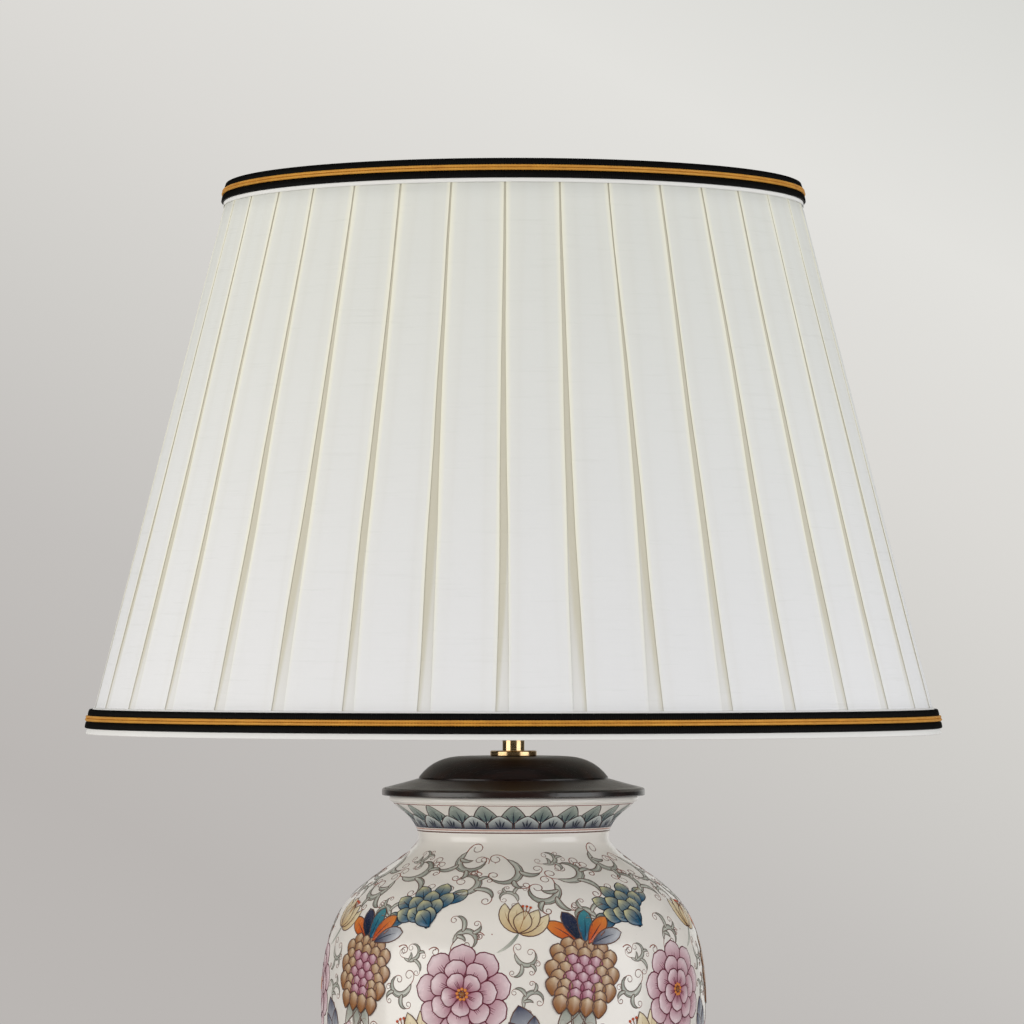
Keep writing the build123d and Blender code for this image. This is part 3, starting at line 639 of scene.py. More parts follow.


# %% [markdown]
# ## Box pleats
# Box pleats are one long strip of silk, folded under on both sides of each flat panel. The strip is
# a rectangle, so where the cone narrows the folds lap deeper and the gaps close. One period of the
# strip is drawn as a section at each height: floor of the gap, turn back under the panel, turn out
# again, panel. The turning tree repeats it 36 times and welds the copies into one strip. Tan painted
# shade fills the side of each gap that is farther round from the front. It covers the whole gap high
# up and tapers off towards the hem, where the floor stays pale.

# %% Section of one pleat
pleat_count = 36
first_gap = math.radians(-91.6)
gap_low = 7.8 * MM
gap_high = 0.9 * MM
gap_opening = 1.7
lap_low = 6.0 * MM
panel_inset = 0.2 * MM
flap_inset = 0.56 * MM
floor_inset = 0.64 * MM
panel_dish = 0.2 * MM
show_through = 1.0 * MM
# Shares of the painted highlight on a panel's edge, at the points of a panel.
highlight_on_panel = (0.8, 0.1, 0, 0, 0, 0)
# Shares of the painted shade at the points of a panel: full on the turn of the fold, a little where the lap
# behind the panel ends.
shade_on_panel = (0, 0, 0.08, 0.02, 0, 0)
shade_at_turn = 0.8
cloth_thickness = 0.12 * MM
half_pitch_angle = math.pi / pleat_count
period_cloth = 2 * half_pitch_angle * cover_low_radius + 4 * lap_low


def half_turn(centre, radius, side, count):
    """Points of a half circle in a section, from its inner to its outer end, bulging to one side."""
    sweep = np.linspace(0, np.pi, count + 2)[1:-1]
    return np.stack([centre[0] + side * radius * np.sin(sweep), centre[1] + radius * np.cos(sweep)], 1)


def half_pleat(half_pitch, gap, lap):
    """Half a period as (distance from the gap's middle, inset, edge highlight, fold shade, aside) rows,
    floor first.

    Edge and fold are shares of a painted highlight and a painted shade, and aside is the place across the
    gap, 1 at its side.
    """
    edge = gap / 2
    inner = (floor_inset - flap_inset) / 2
    outer = (flap_inset - panel_inset) / 2
    reach = half_pitch - edge - outer
    floor = [(x, floor_inset) for x in (*np.linspace(0, edge, 5), edge + lap)]
    under = half_turn((edge + lap, flap_inset + inner), inner, 1, 4)
    flap = [(edge + lap, flap_inset), (edge + outer, flap_inset)]
    over = half_turn((edge + outer, panel_inset + outer), outer, -1, 6)
    away = np.array([0, 0.3 * lap, lap - show_through, lap + show_through, (lap + reach) / 2, reach])
    dish = panel_dish * (1 - (1 - away / reach) ** 2)
    panel = np.stack([edge + outer + away, panel_inset + dish], 1)
    rows = np.concatenate([floor, under, flap, over, panel])
    hidden = len(floor) + len(under) + len(flap)
    edges = np.concatenate([np.zeros(hidden), np.linspace(0, 1, len(over)), highlight_on_panel])
    folds = np.concatenate([np.ones(hidden), np.linspace(shade_at_turn, 0, len(over)), shade_on_panel])
    asides = np.minimum(rows[:, 0] / edge, 1.0)
    return np.column_stack([rows, edges, folds, asides])


sample = half_pleat(half_pitch_angle * cover_low_radius, gap_low, lap_low)
print("pleat section:", 2 * len(sample) - 1, "points, cloth", round(period_cloth * 1000, 1), "mm a period")

# %% One period of the pleats
pleat_rows = 15
# The painted highlight on the edges grows from nothing at the hem to its full share a third of the way up.
highlight_rise = 3.0


def pleat_mesh():
    """One period of the folded strip, from the middle of a gap to the middle of the next."""
    sections = []
    for share in np.linspace(0, 1, pleat_rows):
        height = cover_low + share * (cover_high - cover_low)
        radius = cone_radius(height)
        half_pitch = half_pitch_angle * radius
        gap = gap_high + (gap_low - gap_high) * (1 - share) ** gap_opening
        lap = (period_cloth - 2 * half_pitch) / 4
        half = half_pleat(half_pitch, gap, lap)
        far = half[-2::-1] * (-1, 1, 1, 1, -1) + (2 * half_pitch, 0, 0, 0, 0)
        across, inset, edge, fold, aside = np.concatenate([half, far]).T
        places = round_axis(radius - inset, height, first_gap + across / radius)
        # Each point keeps its share of the painted highlight on the edges and of the painted shade in the
        # folds.
        sections.append(np.column_stack([places, edge * min(1.0, highlight_rise * share), fold, aside]))
    table = np.concatenate(sections)
    mesh = mesh_of("pleat", table[:, :3], grid_faces(pleat_rows, len(sections[0])).tolist())
    for layer, values in zip(("edge", "fold", "aside"), table[:, 3:].T):
        numbers = np.ascontiguousarray(values, np.float32)
        mesh.attributes.new(layer, "FLOAT", "POINT").data.foreach_set("value", numbers)
    return mesh


pleat = pleat_mesh()
print("one period of the pleats:", len(pleat.polygons), "faces")

# %% The pleated cover
# Where the painted shade of the folds lies: strong on the side of each gap farther round from the front and
# over the whole gap higher up, faint near the hem on the other side.
pale_side = 0.95
pale_taper = 5.2
shade_blur = 0.5
faint_shade = (0.1, 2.0, 0.5)
strong_shade = (0.7, 1.6, 1.0)


def layer_values(mesh, layer):
    """One number a point from an attribute of a mesh."""
    values = np.empty(len(mesh.vertices), np.float32)
    mesh.attributes[layer].data.foreach_get("value", values)
    return values


def taper_fold_shade(mesh):
    """Let the painted shade of the folds taper off towards the hem, on the side that faces the front.

    Faint and strong painted shade have a share at the hem, a gain up to the top and a limit.
    """
    places = np.empty(3 * len(mesh.vertices), np.float32)
    mesh.vertices.foreach_get("co", places)
    x, y, z = places.reshape(-1, 3).T
    rise = (z - cover_low) / (cover_high - cover_low)
    far = layer_values(mesh, "aside") * np.sign(x)
    far_shade = np.clip((far - pale_side + pale_taper * rise) / shade_blur + 0.5, 0, 1)
    faint, strong = (np.minimum(most, least + gain * rise) for least, gain, most in (faint_shade, strong_shade))
    folds = layer_values(mesh, "fold") * (faint + (strong - faint) * far_shade)
    mesh.attributes["fold"].data.foreach_set("value", folds)
    mesh.attributes.remove(mesh.attributes["aside"])


pleats = turned("box_pleats", pleat, pleat_count, silk, weld=0.02 * MM, sway=7.0 * MM, swell=0.2 * MM,
                patches=80.0, seed=4)
taper_fold_shade(pleats.data)
thicken(pleats, cloth_thickness)
give(pleats, "shade", "pleat_cloth", "pleated_cover")

# %% [markdown]
# ## Lining and edge tapes
# Inside the wire frame hangs a plain cone of cotton. Cotton tape is folded over the top and the hem
# and covers the raw edges of both cloths. Each is a strip that is turned round the axis, with slots
# where the arms of the spider pass, and then thickened.

# %% Strips of cloth round the axis
strip_steps = 288
arm_angles = (-90.0, 30.0, 150.0)
arm_reach = 2.8 * MM
arm_clearance = 0.4 * MM
arm_end = arm_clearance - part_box("spider")[0].y


def strip_round(name, profile, finish, thickness, slot_from=None):
    """A strip of cloth along a profile of (radius, height), slotted for the arms from one point on."""
    radii, heights = np.hsplit(np.asarray(profile), 2)
    points = round_axis(radii, heights, even_angles(strip_steps)).reshape(-1, 3)
    faces = grid_faces(len(radii), strip_steps, columns_close=True)
    if slot_from is not None:
        middles = (np.arange(strip_steps) + 0.5) * 360 / strip_steps
        apart = np.abs((middles[:, None] - arm_angles + 180) % 360 - 180).min(1)
        slotted = np.radians(apart) * radii[:-1] < arm_reach
        slotted[:slot_from] = False
        faces = faces[~slotted.ravel()]
    piece = piece_of(name, mesh_of(name, points, faces.tolist()))
    piece.data.materials.append(finish)
    return thicken(piece, thickness)


def strip_length(profile):
    """Length of a profile, which is the width of the strip before it was folded."""
    return float(np.hypot(*np.diff(np.asarray(profile), axis=0).T).sum())


print("arms of the spider at", arm_angles, "degrees reach", round(arm_end * 1000, 1), "mm out")

# %% Lining
lining_low, lining_high = heights_of("lining")
lining_radius = ring_radius("lining", lining_low)
lining_gap = 0.1 * MM
lining_inset = cone_radius(lining_low) - lining_radius + lining_gap
lining_thickness = 0.5 * MM
slot_depth = 8.0 * MM
lining_rise = np.linspace(lining_low, lining_high - slot_depth, 10)
lining_heights = [*lining_rise, lining_high - slot_depth / 2, lining_high]
lining_profile = [(cone_radius(z, lining_inset), z) for z in lining_heights]
lining = strip_round("cotton_lining", lining_profile, lining_cotton, lining_thickness, len(lining_rise) - 1)
give(lining, "shade", "white_cloth", "lining")

# %% Edge tapes
tape_thickness = 0.3 * MM
tape_round = 0.9 * MM
pressed = 2.0 * MM
end_height = 0.25 * MM
inner_inset = 8.3 * MM
inner_leg = (4.0 * MM, 9.0 * MM)
bends = np.linspace(0, math.pi / 2, 5)


def rounded(radius, height, inward, upward, side_first):
    """Points of a section round a corner, from its upright side to its edge or the other way."""
    early, late = 1 - np.cos(bends), 1 - np.sin(bends)
    across, up = (early, late) if side_first else (late, early)
    return np.column_stack([radius + inward * across, height + upward * up])


def tape_profile(node, at_top):
    """Section of a tape folded over an edge: outer leg with a pressed end, two turns, inner leg."""
    low, high = heights_of(node)
    edge, end, up = (high, low, -1) if at_top else (low, high, 1)
    outer_inset = cone_radius(edge) - ring_radius(node, edge)
    straight = np.linspace(end - up * pressed, edge + up * tape_round, 4)
    outer_leg = [(cone_radius(end, -end_height), end), *((cone_radius(z, outer_inset), z) for z in straight)]
    outer_turn = rounded(cone_radius(edge, outer_inset), edge, -tape_round, up * tape_round, True)[1:]
    inner_turn = rounded(cone_radius(edge, inner_inset), edge, tape_round, up * tape_round, False)[1:]
    inner_side = [(cone_radius(edge + up * leg, inner_inset), edge + up * leg) for leg in inner_leg]
    flat = [(arm_end, edge)] if at_top else []
    return [*outer_leg, *outer_turn, *flat, *inner_turn, *inner_side], len(outer_leg) + len(outer_turn)


tapes = []
for node, at_top in (("top_binding", True), ("bottom_binding", False)):
    profile, inner_from = tape_profile(node, at_top)
    if not at_top:
        profile, inner_from = profile[::-1], None
    tape = strip_round(node.replace("binding", "tape"), profile, tape_cotton, tape_thickness, inner_from)
    give(tape, "shade", "white_cloth", node)
    tapes.append((tape, strip_length(profile), max(r for r, z in profile)))

# %% [markdown]
# ## Braid and twisted cord
# The braid has fine upright ribs, and a gold twin cord lies between its two rows of ribs. A tile
# holds one rib, thin at its sides and full in its middle, as a loop of points that goes once round
# the braid's section. The cord's tile is half a turn of a two-ply twist. Both tiles weld to the
# next copy, so each trim ends up as one closed ring.

# %% Tiles of the trim
rib_pitch = 1.15 * MM
twist_pitch = 1.6 * MM
rib_steps = 4
rib_valley = 0.7
rib_round = 0.7
channel = 1.75 * MM
channel_shoulder = 0.5 * MM
channel_wall = 0.2 * MM
twist_steps = 5
twist_sides = 8
ply_swell = 0.08
lean = math.atan(slope)
hem_corner = np.array([cover_low_radius, cover_low])
outward = np.array([math.cos(lean), math.sin(lean)])
upward = np.array([-math.sin(lean), math.cos(lean)])


def sloped_box(node):
    """Extent of a node across and along the shade's slope: back, face, low and high."""
    places = corners_of(node) - hem_corner
    out, up = places @ outward, places @ upward
    return out.min(), out.max(), up.min(), up.max()


def tile_mesh(name, loops, copies):
    """A mesh between loops of (radius, height) points that fills one copy's share of the turn."""
    radii, heights = np.moveaxis(np.asarray(loops), -1, 0)
    angles = np.linspace(-0.5, 0.5, len(loops)) * math.tau / copies
    points = round_axis(radii, heights, angles[:, None]).reshape(-1, 3)
    faces = grid_faces(*radii.shape, columns_close=True, flip=True)
    return mesh_of(name, points, faces.tolist())


def rib_tile(node, copies):
    """One rib of the braid: two rounded rows with a channel between them."""
    back, face, low, high = sloped_box(node)
    thick = face - back
    half = (high - low) / 2
    middle = hem_corner + back * outward + (low + high) / 2 * upward
    loops = []
    for share in np.linspace(0, 1, rib_steps + 1):
        crest = thick * (rib_valley + (1 - rib_valley) * math.sin(math.pi * share) ** rib_round)
        lower = [(0.0, -half), (0.55 * crest, -half), (0.9 * crest, -0.93 * half), (crest, -0.7 * half),
                 (crest, -channel - channel_shoulder), (0.8 * crest, -channel),
                 (0.3 * thick, -channel + channel_wall)]
        upper = [(out, -up) for out, up in lower[::-1]]
        loops.append([middle + out * outward + up * upward for out, up in lower + upper])
    return tile_mesh("rib", loops, copies)


def twist_tile(node, copies, side):
    """Half a turn of a two-ply twist, above or below the middle of its braid."""
    back, face, low, high = sloped_box(node)
    thick = (face - back) / 2
    middle = hem_corner + (back + face) / 2 * outward + ((low + high) / 2 + side * (high - low) / 4) * upward
    round_cord = even_angles(twist_sides)
    loops = []
    for share in np.linspace(0, 1, twist_steps + 1):
        ply = thick * (1 - ply_swell + ply_swell * np.cos(2 * round_cord - side * math.tau * share))
        loops.append(middle + np.outer(ply * np.cos(round_cord), outward)
                     + np.outer(ply * np.sin(round_cord), upward))
    return tile_mesh("twist", loops, copies)


print("rib pitch", rib_pitch * 1000, "mm, twist pitch", twist_pitch * 1000, "mm")

# %% Braids and cords
for place in ("top", "bottom"):
    braid_node, cord_node = place + "_braid", place + "_gold_cord"
    round_length = math.tau * cone_radius(sum(heights_of(braid_node)) / 2)
    ribs = round(round_length / rib_pitch)
    braid = turned(place + "_ribbed_braid", rib_tile(braid_node, ribs), ribs, black_yarn, weld=0.01 * MM)
    give(braid, "shade", "black_braid", braid_node)
    twists = round(round_length / twist_pitch)
    for side, word in ((1, "upper"), (-1, "lower")):
        cord = turned(f"{place}_{word}_gold_twist", twist_tile(cord_node, twists, side), twists, gold_rayon,
                      weld=0.01 * MM)
        give(cord, "shade", "gold_braid", cord_node)

# %% [markdown]
# ## Flat sizes of the cloth
# The pleated cover, the lining and the tapes were flat pieces of cloth, and the pleats use up nearly
# twice the shade's own girth. Here the lining's flat area and the lengths of the strips are worked out.

# %% Flat sizes
lining_area = math.pi * strip_length(lining_profile) * (lining_profile[0][0] + lining_profile[-1][0])
strip_length(lining_profile)
for tape, width, radius in tapes:
    math.tau * radius

# %% [markdown]
# ## Felt under the plinth
# A disc of felt keeps the wood off the table. Its cut edge is soft, so the disc is turned from a
# section with rounded corners.

# %% Felt pad
felt_low, felt_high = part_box("felt_pad")
felt_radius = felt_high.x
felt_round = 0.7 * MM
felt_steps = 128


def felt_section():
    """Half section of the felt disc with two rounded corners."""
    lower = rounded(felt_radius, felt_low.z, -felt_round, felt_round, False)
    upper = rounded(felt_radius, felt_high.z, -felt_round, -felt_round, True)
    return [(felt_radius / 2, felt_low.z), *lower, *upper, (felt_radius / 2, felt_high.z)]


def lathe_mesh(name, section, steps):
    """A closed solid turned from a half section, with its two poles on the axis."""
    radii, heights = np.hsplit(np.asarray(section), 2)
    rings = round_axis(radii, heights, even_angles(steps)).reshape(-1, 3)
    poles = round_axis(0.0, heights[[0, -1], 0], 0.0)
    first, last = len(rings), len(rings) + 1
    top = len(rings) - steps
    faces = grid_faces(len(radii), steps, columns_close=True).tolist()
    faces += [(first, (step + 1) % steps, step) for step in range(steps)]
    faces += [(last, top + step, top + (step + 1) % steps) for step in range(steps)]
    return mesh_of(name, np.concatenate([rings, poles]), faces)


pad = piece_of("felt_disc", lathe_mesh("felt_disc", felt_section(), felt_steps))
pad.data.materials.append(felt)
give(pad, "base", "felt", "felt_pad")

# %% [markdown]
# ## A surface to paint on
# The painter works on the jar's curved side. To lay a stroke there, its flat x and y in millimetres
# become an angle round the axis and a length up the jar's profile. The profile is found by casting
# rays at the solid, so the paint always lies on the glaze.

# %% The jar's profile
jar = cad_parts["jar"]
ray_angle = 0.19
ray_start = 0.3
ray_from = Vector((math.cos(ray_angle), math.sin(ray_angle), 0.0))
foot_margin = 7.0 * MM
lip_margin = 3.9 * MM
profile_step = 0.5 * MM
profile_heights = np.arange(jar_low + foot_margin, jar_high - lip_margin, profile_step)


def side_radius(height):
    """Radius of the jar's outside at a height."""
    start = ray_from * ray_start + Vector((0, 0, height))
    spot = jar.ray_cast(start, -ray_from)[1]
    return math.hypot(spot.x, spot.y)


profile_radii = np.array([side_radius(height) for height in profile_heights])
steps_up = np.hypot(np.diff(profile_heights), np.diff(profile_radii))
profile_lengths = np.concatenate([[0.0], np.cumsum(steps_up)])
lean_out = np.gradient(profile_heights, profile_lengths)
lean_up = -np.gradient(profile_radii, profile_lengths)


def length_at(height_mm):
    """Length up the profile, in metres, at a height in millimetres."""
    return float(np.interp(height_mm * MM, profile_heights, profile_lengths))


def radius_at(length):
    """Radius of the jar at lengths up its profile."""
    return np.interp(length, profile_lengths, profile_radii)


def on_jar(angle, length, lift):
    """Points on the jar at angles and lengths up its profile, lifted off the glaze."""
    out = radius_at(length) + lift * np.interp(length, profile_lengths, lean_out)
    height = np.interp(length, profile_lengths, profile_heights)
    height = height + lift * np.interp(length, profile_lengths, lean_up)
    return round_axis(out, height, angle)


print("profile:", len(profile_radii), "points, widest", round(float(profile_radii.max()), 4), "m")

# %% [markdown]
# ## The brush
# Every mark is one kind of stroke: a path, a width along it and a few tones. A wide stroke becomes a
# petal and a narrow one a line. The edge of a stroke sinks into the glaze and its middle stands a
# tenth of a millimetre proud, as fired enamel does. Strokes are sorted into pots, one for each colour,
# as a painter would lay one colour after another.


# %% Paths of the brush
def line_from(start, heading, length, turn, quicken=1.0, count=14):
    """Path of a brush that sets off at a heading and turns as it goes, in degrees."""
    share = np.linspace(0, 1, count)
    angle = np.radians(heading + turn * share**quicken)
    middle = (angle[1:] + angle[:-1]) / 2
    steps = np.stack([np.cos(middle), np.sin(middle)], 1) * length / (count - 1)
    return np.concatenate([[start], np.asarray(start) + np.cumsum(steps, 0)])


def swelling(count, blunt=1.0, peak=0.5):
    """Width along a stroke: nothing at both ends and 1 at the peak."""
    share = np.linspace(0, 1, count) ** (math.log(0.5) / math.log(peak))
    return np.sin(np.pi * share) ** blunt


def left_of(path):
    """Unit directions to the left of a path."""
    ahead = np.gradient(path, axis=0)
    ahead /= np.maximum(np.hypot(*ahead.T), 1e-9)[:, None]
    return np.stack([-ahead[:, 1], ahead[:, 0]], 1)


def heading_at(path, place):
    """Heading of a path at one of its points, in degrees."""
    place %= len(path)
    step = path[min(place + 1, len(path) - 1)] - path[max(place - 1, 0)]
    return math.degrees(math.atan2(step[1], step[0]))


spiral_end = line_from((0, 0), 90, 20, 420, 1.6)[-1]
print("a spiral of 20 mm ends", round(math.hypot(*spiral_end), 1), "mm from its start")


# %% Strokes
def tint(mesh, tones):
    """Keep a tone for each point of a mesh."""
    numbers = np.ascontiguousarray(tones, np.float32).ravel()
    mesh.attributes.new("paint", "FLOAT_COLOR", "POINT").data.foreach_set("color", numbers)


class Brush:
    """Strokes on the jar, gathered by pot. A place is set first, and strokes are drawn round it.

    All sizes are in millimetres.
    """

    sink = 0.07
    hair = 0.75
    least_width = 0.04
    broad_stroke = 1.4
    edge_share = 0.85
    contour_place = 0.47
    line_lift = 0.025
    line_base = 0.05

    def __init__(self):
        self.pots = {}

    def stand(self, angle, length, turn=0.0, scale=1.0, flip=1):
        """Place of the next strokes: angle in degrees, length up the profile in metres."""
        self.angle = math.radians(angle)
        self.length = length
        self.turn = math.radians(turn)
        self.scale = scale
        self.flip = flip

    def stroke(self, pot, path, width, start, end=None, edge=None, lift=0.1, base=0.0, fade=1.0, rim=0.0):
        """Lay a stroke whose tone runs from start to end, with another tone along its edges.

        The middle lies at lift and the edges just below base, in millimetres over the glaze. With a rim
        above 0 the tone of the edges comes in along the stroke.
        """
        width = np.maximum(np.broadcast_to(width, len(path)), self.least_width)
        across = np.array([-1, -0.9, 0, 0.9, 1] if width.max() > self.broad_stroke else [-1, 0, 1])
        flat = path[:, None] + left_of(path)[:, None] * (width[:, None] / 2 * across)[..., None]
        first, last = np.array(start), np.array(start if end is None else end)
        along = np.linspace(0, 1, len(path))[:, None, None]
        tone = np.repeat(first + (last - first) * along**fade, len(across), 1)
        if edge is not None:
            tone = tone + (np.array(edge) - tone) * self.edge_share * across[:, None] ** 2 * along**rim
        height = np.where(np.abs(across) == 1, base - self.sink, lift)
        self.lay(pot, flat, np.broadcast_to(height, flat.shape[:2]), tone)

    def lay(self, pot, flat, height, tone):
        """Turn a grid of flat points into a closed strip on the jar."""
        x, y = flat[..., 0] * self.flip * self.scale, flat[..., 1] * self.scale
        right = (x * math.cos(self.turn) - y * math.sin(self.turn)) * MM
        up = (x * math.sin(self.turn) + y * math.cos(self.turn)) * MM
        length = self.length + up
        points = on_jar(self.angle + right / radius_at(length), length, height * MM)
        paint = self.pots.setdefault(pot, {"points": [], "tones": [], "faces": [], "count": 0})
        rows, columns = height.shape
        at = paint["count"] + np.arange(rows * columns).reshape(rows, columns)
        quads = paint["count"] + grid_faces(rows, columns, flip=True)
        below = np.stack([at[:-1, 0], at[:-1, -1], at[1:, -1], at[1:, 0]], -1)
        faces = [*quads.tolist(), *below.tolist(), at[0].tolist(), at[-1, ::-1].tolist()]
        paint["faces"] += faces if self.flip > 0 else [face[::-1] for face in faces]
        paint["points"].append(points.reshape(-1, 3))
        paint["tones"].append(tone.reshape(-1, 4))
        paint["count"] += rows * columns

    def line(self, pot, path, width, tone, lift):
        """Lay a fine line on top of a stroke that lies at lift."""
        self.stroke(pot, path, width, tone, lift=lift + self.line_lift, base=lift + self.line_base)

    def contour(self, path, width, tone, lift, pot="outline"):
        """Outline a stroke with a hair line, up one side and down the other."""
        aside = left_of(path) * (np.asarray(width) * self.contour_place)[:, None]
        loop = np.concatenate([path + aside, (path - aside)[-2::-1]])
        self.line(pot, loop, self.hair, tone, lift)

    def mesh(self, pot):
        """The strokes of one pot as a mesh with their tones."""
        paint = self.pots[pot]
        mesh = mesh_of(pot, np.concatenate(paint["points"]), paint["faces"])
        tint(mesh, np.concatenate(paint["tones"]))
        return mesh


print("brush: strokes sink", Brush.sink, "mm at their edges")

# %% [markdown]
# ## Petals and leaves
# The palette is that of enamelled porcelain: rose, ochre, straw, teal, a blue that fades to white,
# orange, sage and russet. Each motif below is a handful of petals round a point, drawn with y up.

# %% Palette
rose, blush = srgb(158, 44, 90), srgb(250, 230, 233)
ochre, sand = srgb(154, 96, 46), srgb(246, 226, 192)
straw, cream = srgb(198, 156, 92), srgb(244, 230, 194)
teal, lime = srgb(12, 86, 122), srgb(248, 238, 178)
navy, mist = srgb(44, 50, 84), srgb(214, 217, 222)
orange, amber = srgb(202, 76, 28), srgb(232, 142, 62)
sage, pale_sage = srgb(128, 135, 123), srgb(220, 219, 208)
russet, umber = srgb(156, 84, 64), srgb(108, 74, 62)
deep_blue, wine = srgb(18, 36, 58), srgb(118, 40, 62)
print("palette: 18 tones")

# %% One petal
petal_steps = 10
dot_steps = 7


def polar(reach, heading):
    """A flat point at a distance from the middle, at a heading in degrees."""
    return reach * math.cos(math.radians(heading)), reach * math.sin(math.radians(heading))


def petal(brush, pot, start, heading, length, width, tones, line, lift=0.1, bend=0.0, peak=0.62, blunt=0.6,
          fade=1.5):
    """A petal or leaf with an outline; tones run from its base to its tip, then along its edge."""
    path = line_from(start, heading, length, bend, count=petal_steps)
    widths = width * swelling(petal_steps, blunt, peak)
    brush.stroke(pot, path, widths, *tones, lift=lift, fade=fade)
    brush.contour(path, widths, line, lift)
    return path


def dot(brush, pot, spot, size, tone, lift):
    """A round dab of enamel."""
    path = line_from((spot[0] - size / 2, spot[1]), 0, size, 0, count=dot_steps)
    brush.stroke(pot, path, size * swelling(dot_steps, 0.5), tone, lift=lift)


def vein(brush, pot, path, width, tone, lift):
    """A fine line on top of a petal."""
    brush.line(pot, path, width * swelling(len(path), 0.6, 0.35), tone, lift)


def stem(brush, path, *tones):
    """A stalk that tapers to both ends."""
    brush.stroke("scroll", path, 2.0 * swelling(len(path), 0.5, 0.4), *tones)


print("a petal has", petal_steps, "points along it")


# %% Flowers
def peony(brush):
    """Three rings of rose petals round a yellow heart."""
    rings = ((9, 8.5, 14.5, 13.5), (7, 4.6, 11.8, 11.5), (5, 1.2, 9.2, 9.4))
    for ring, (count, reach, length, width) in enumerate(rings):
        for place in range(count):
            heading = 360 * (place + 0.5 * (ring % 2)) / count + 18 * ring
            start = polar(reach, heading)
            lift = 0.1 + 0.14 * ring + 0.045 * (place % 3)
            petal(brush, "rose", start, heading, length, width, (rose, blush), wine, lift, peak=0.64,
                  fade=1.2)
            for fan in (-14, 0, 14):
                vein(brush, "rose", line_from(start, heading + fan, length * 0.62, -fan), 0.55, wine, lift)
    for place in range(9):
        dot(brush, "ochre", polar(2.4, 40 * place), 1.6, amber, 0.58)
    dot(brush, "ochre", (0, 0), 2.6, ochre, 0.6)


def lily(brush):
    """An open blossom with curling straw petals on a short stem."""
    stem(brush, line_from((0, -2), 262, 17, -40), sage, pale_sage)
    for heading, length, width, bend, lift in ((162, 21, 8.5, -62, 0.1), (22, 21, 8.5, 64, 0.14),
                                               (122, 19, 9.5, -24, 0.2), (58, 18, 9.5, 28, 0.24),
                                               (90, 14, 10.5, 4, 0.32)):
        path = petal(brush, "straw", (0, -2), heading, length, width, (straw, cream), umber, lift, bend,
                     peak=0.5, blunt=0.85, fade=0.7)
        vein(brush, "straw", path[1:8], 0.6, ochre, lift)
    for heading in (78, 92, 106):
        thread = line_from((0, 6), heading, 9, 10)
        brush.stroke("straw", thread, 0.5, ochre, lift=0.42, base=0.3)
        dot(brush, "orange", thread[-1], 1.5, orange, 0.44)


def bud(brush):
    """A blue bud that fades to white, in an orange calyx, with a long rose leaf."""
    leaf = petal(brush, "rose", (-2, -7), 168, 22, 9.0, (rose, blush, blush), wine, 0.1, bend=-26, peak=0.5,
                 blunt=0.9, fade=0.8)
    vein(brush, "scroll", leaf, 1.0, sage, 0.1)
    petal(brush, "navy", (0, -6), 90, 25, 16.0, (mist, navy), umber, 0.16, peak=0.5, blunt=0.75)
    for heading in (70, 110):
        path = petal(brush, "navy", (0, -7), heading, 20, 9.5, (mist, navy), umber, 0.24, peak=0.5,
                     blunt=0.8)
        vein(brush, "navy", path[2:], 0.6, deep_blue, 0.24)
    for heading in (145, 90, 35):
        petal(brush, "orange", (0, -10), heading, 10, 6.0, (orange, amber), umber, 0.32, peak=0.5)
    stem(brush, line_from((0, -10), 270, 15, 44), sage)


print("flowers: peony, lily, bud")


# %% Fruit and leaves
def pomegranate(brush):
    """A fruit of overlapping scales with a striped crown and a calyx of leaves."""
    crown = (("orange", orange, amber), ("navy", deep_blue, navy), ("teal", teal, srgb(70, 150, 158)),
             ("orange", orange, amber), ("navy", navy, mist))
    for place, (pot, base, tip) in enumerate(crown):
        heading = 142 - 26 * place
        path = petal(brush, pot, (1.8 * (place - 2), 13), heading, 18, 8.0, (base, tip), umber,
                     0.1 + 0.03 * place, bend=(2 - place) * 12, peak=0.6)
        vein(brush, pot, path[1:8], 0.7, deep_blue, 0.1 + 0.03 * place)
    for side in (1, -1):
        for heading, length in ((248, 17), (212, 20)):
            petal(brush, "scroll", (side * 2, -15), 270 + side * (heading - 270), length, 7.0,
                  (sage, pale_sage), umber, 0.1, bend=side * 44, peak=0.4, blunt=1.0)
    petal(brush, "ochre", (0, -20), 90, 39, 30.0, (ochre, sand), umber, 0.14, peak=0.52, blunt=0.55)
    rows = 8
    for row in range(rows):
        share = row / (rows - 1)
        height = 11 - 28 * share
        half = 15.5 * math.sin(math.pi * (0.2 + 0.64 * share)) ** 0.6
        count = max(2, round(2 * half / 6.0))
        for place in range(count + row % 2):
            x = (place + 0.5 - 0.5 * (row % 2) - count / 2) * 2 * half / count
            if abs(x) > half:
                continue
            inner = abs(x) < 6.6 and 1 < row < rows - 1
            pot, dark, pale, line = ("rose", rose, blush, wine) if inner else ("ochre", ochre, sand, umber)
            petal(brush, pot, (x, height - 5), 90, 9.4, 8.0, (dark, pale, dark), line, 0.18 + 0.06 * row,
                  peak=0.6, fade=2.2)


def leaf_cluster(brush):
    """A fan of teal leaves with bright tips, laid in rows like shingles."""
    for row, (count, reach, spread) in enumerate(((5, 15, 120), (4, 9, 96), (3, 3, 70), (2, -3, 40))):
        for place in range(count):
            lean = spread * (place / (count - 1) - 0.5)
            start = (reach * math.sin(math.radians(lean)), reach * math.cos(math.radians(lean)) - 6)
            lift = 0.1 + 0.1 * row + 0.05 * (place % 2)
            path = petal(brush, "teal", start, 90 - lean, 13.5, 10.0, (teal, lime), deep_blue, lift,
                         peak=0.58, blunt=0.7, fade=3.4)
            vein(brush, "teal", path[1:8], 0.8, deep_blue, lift)


print("fruit and leaves: pomegranate, leaf cluster")

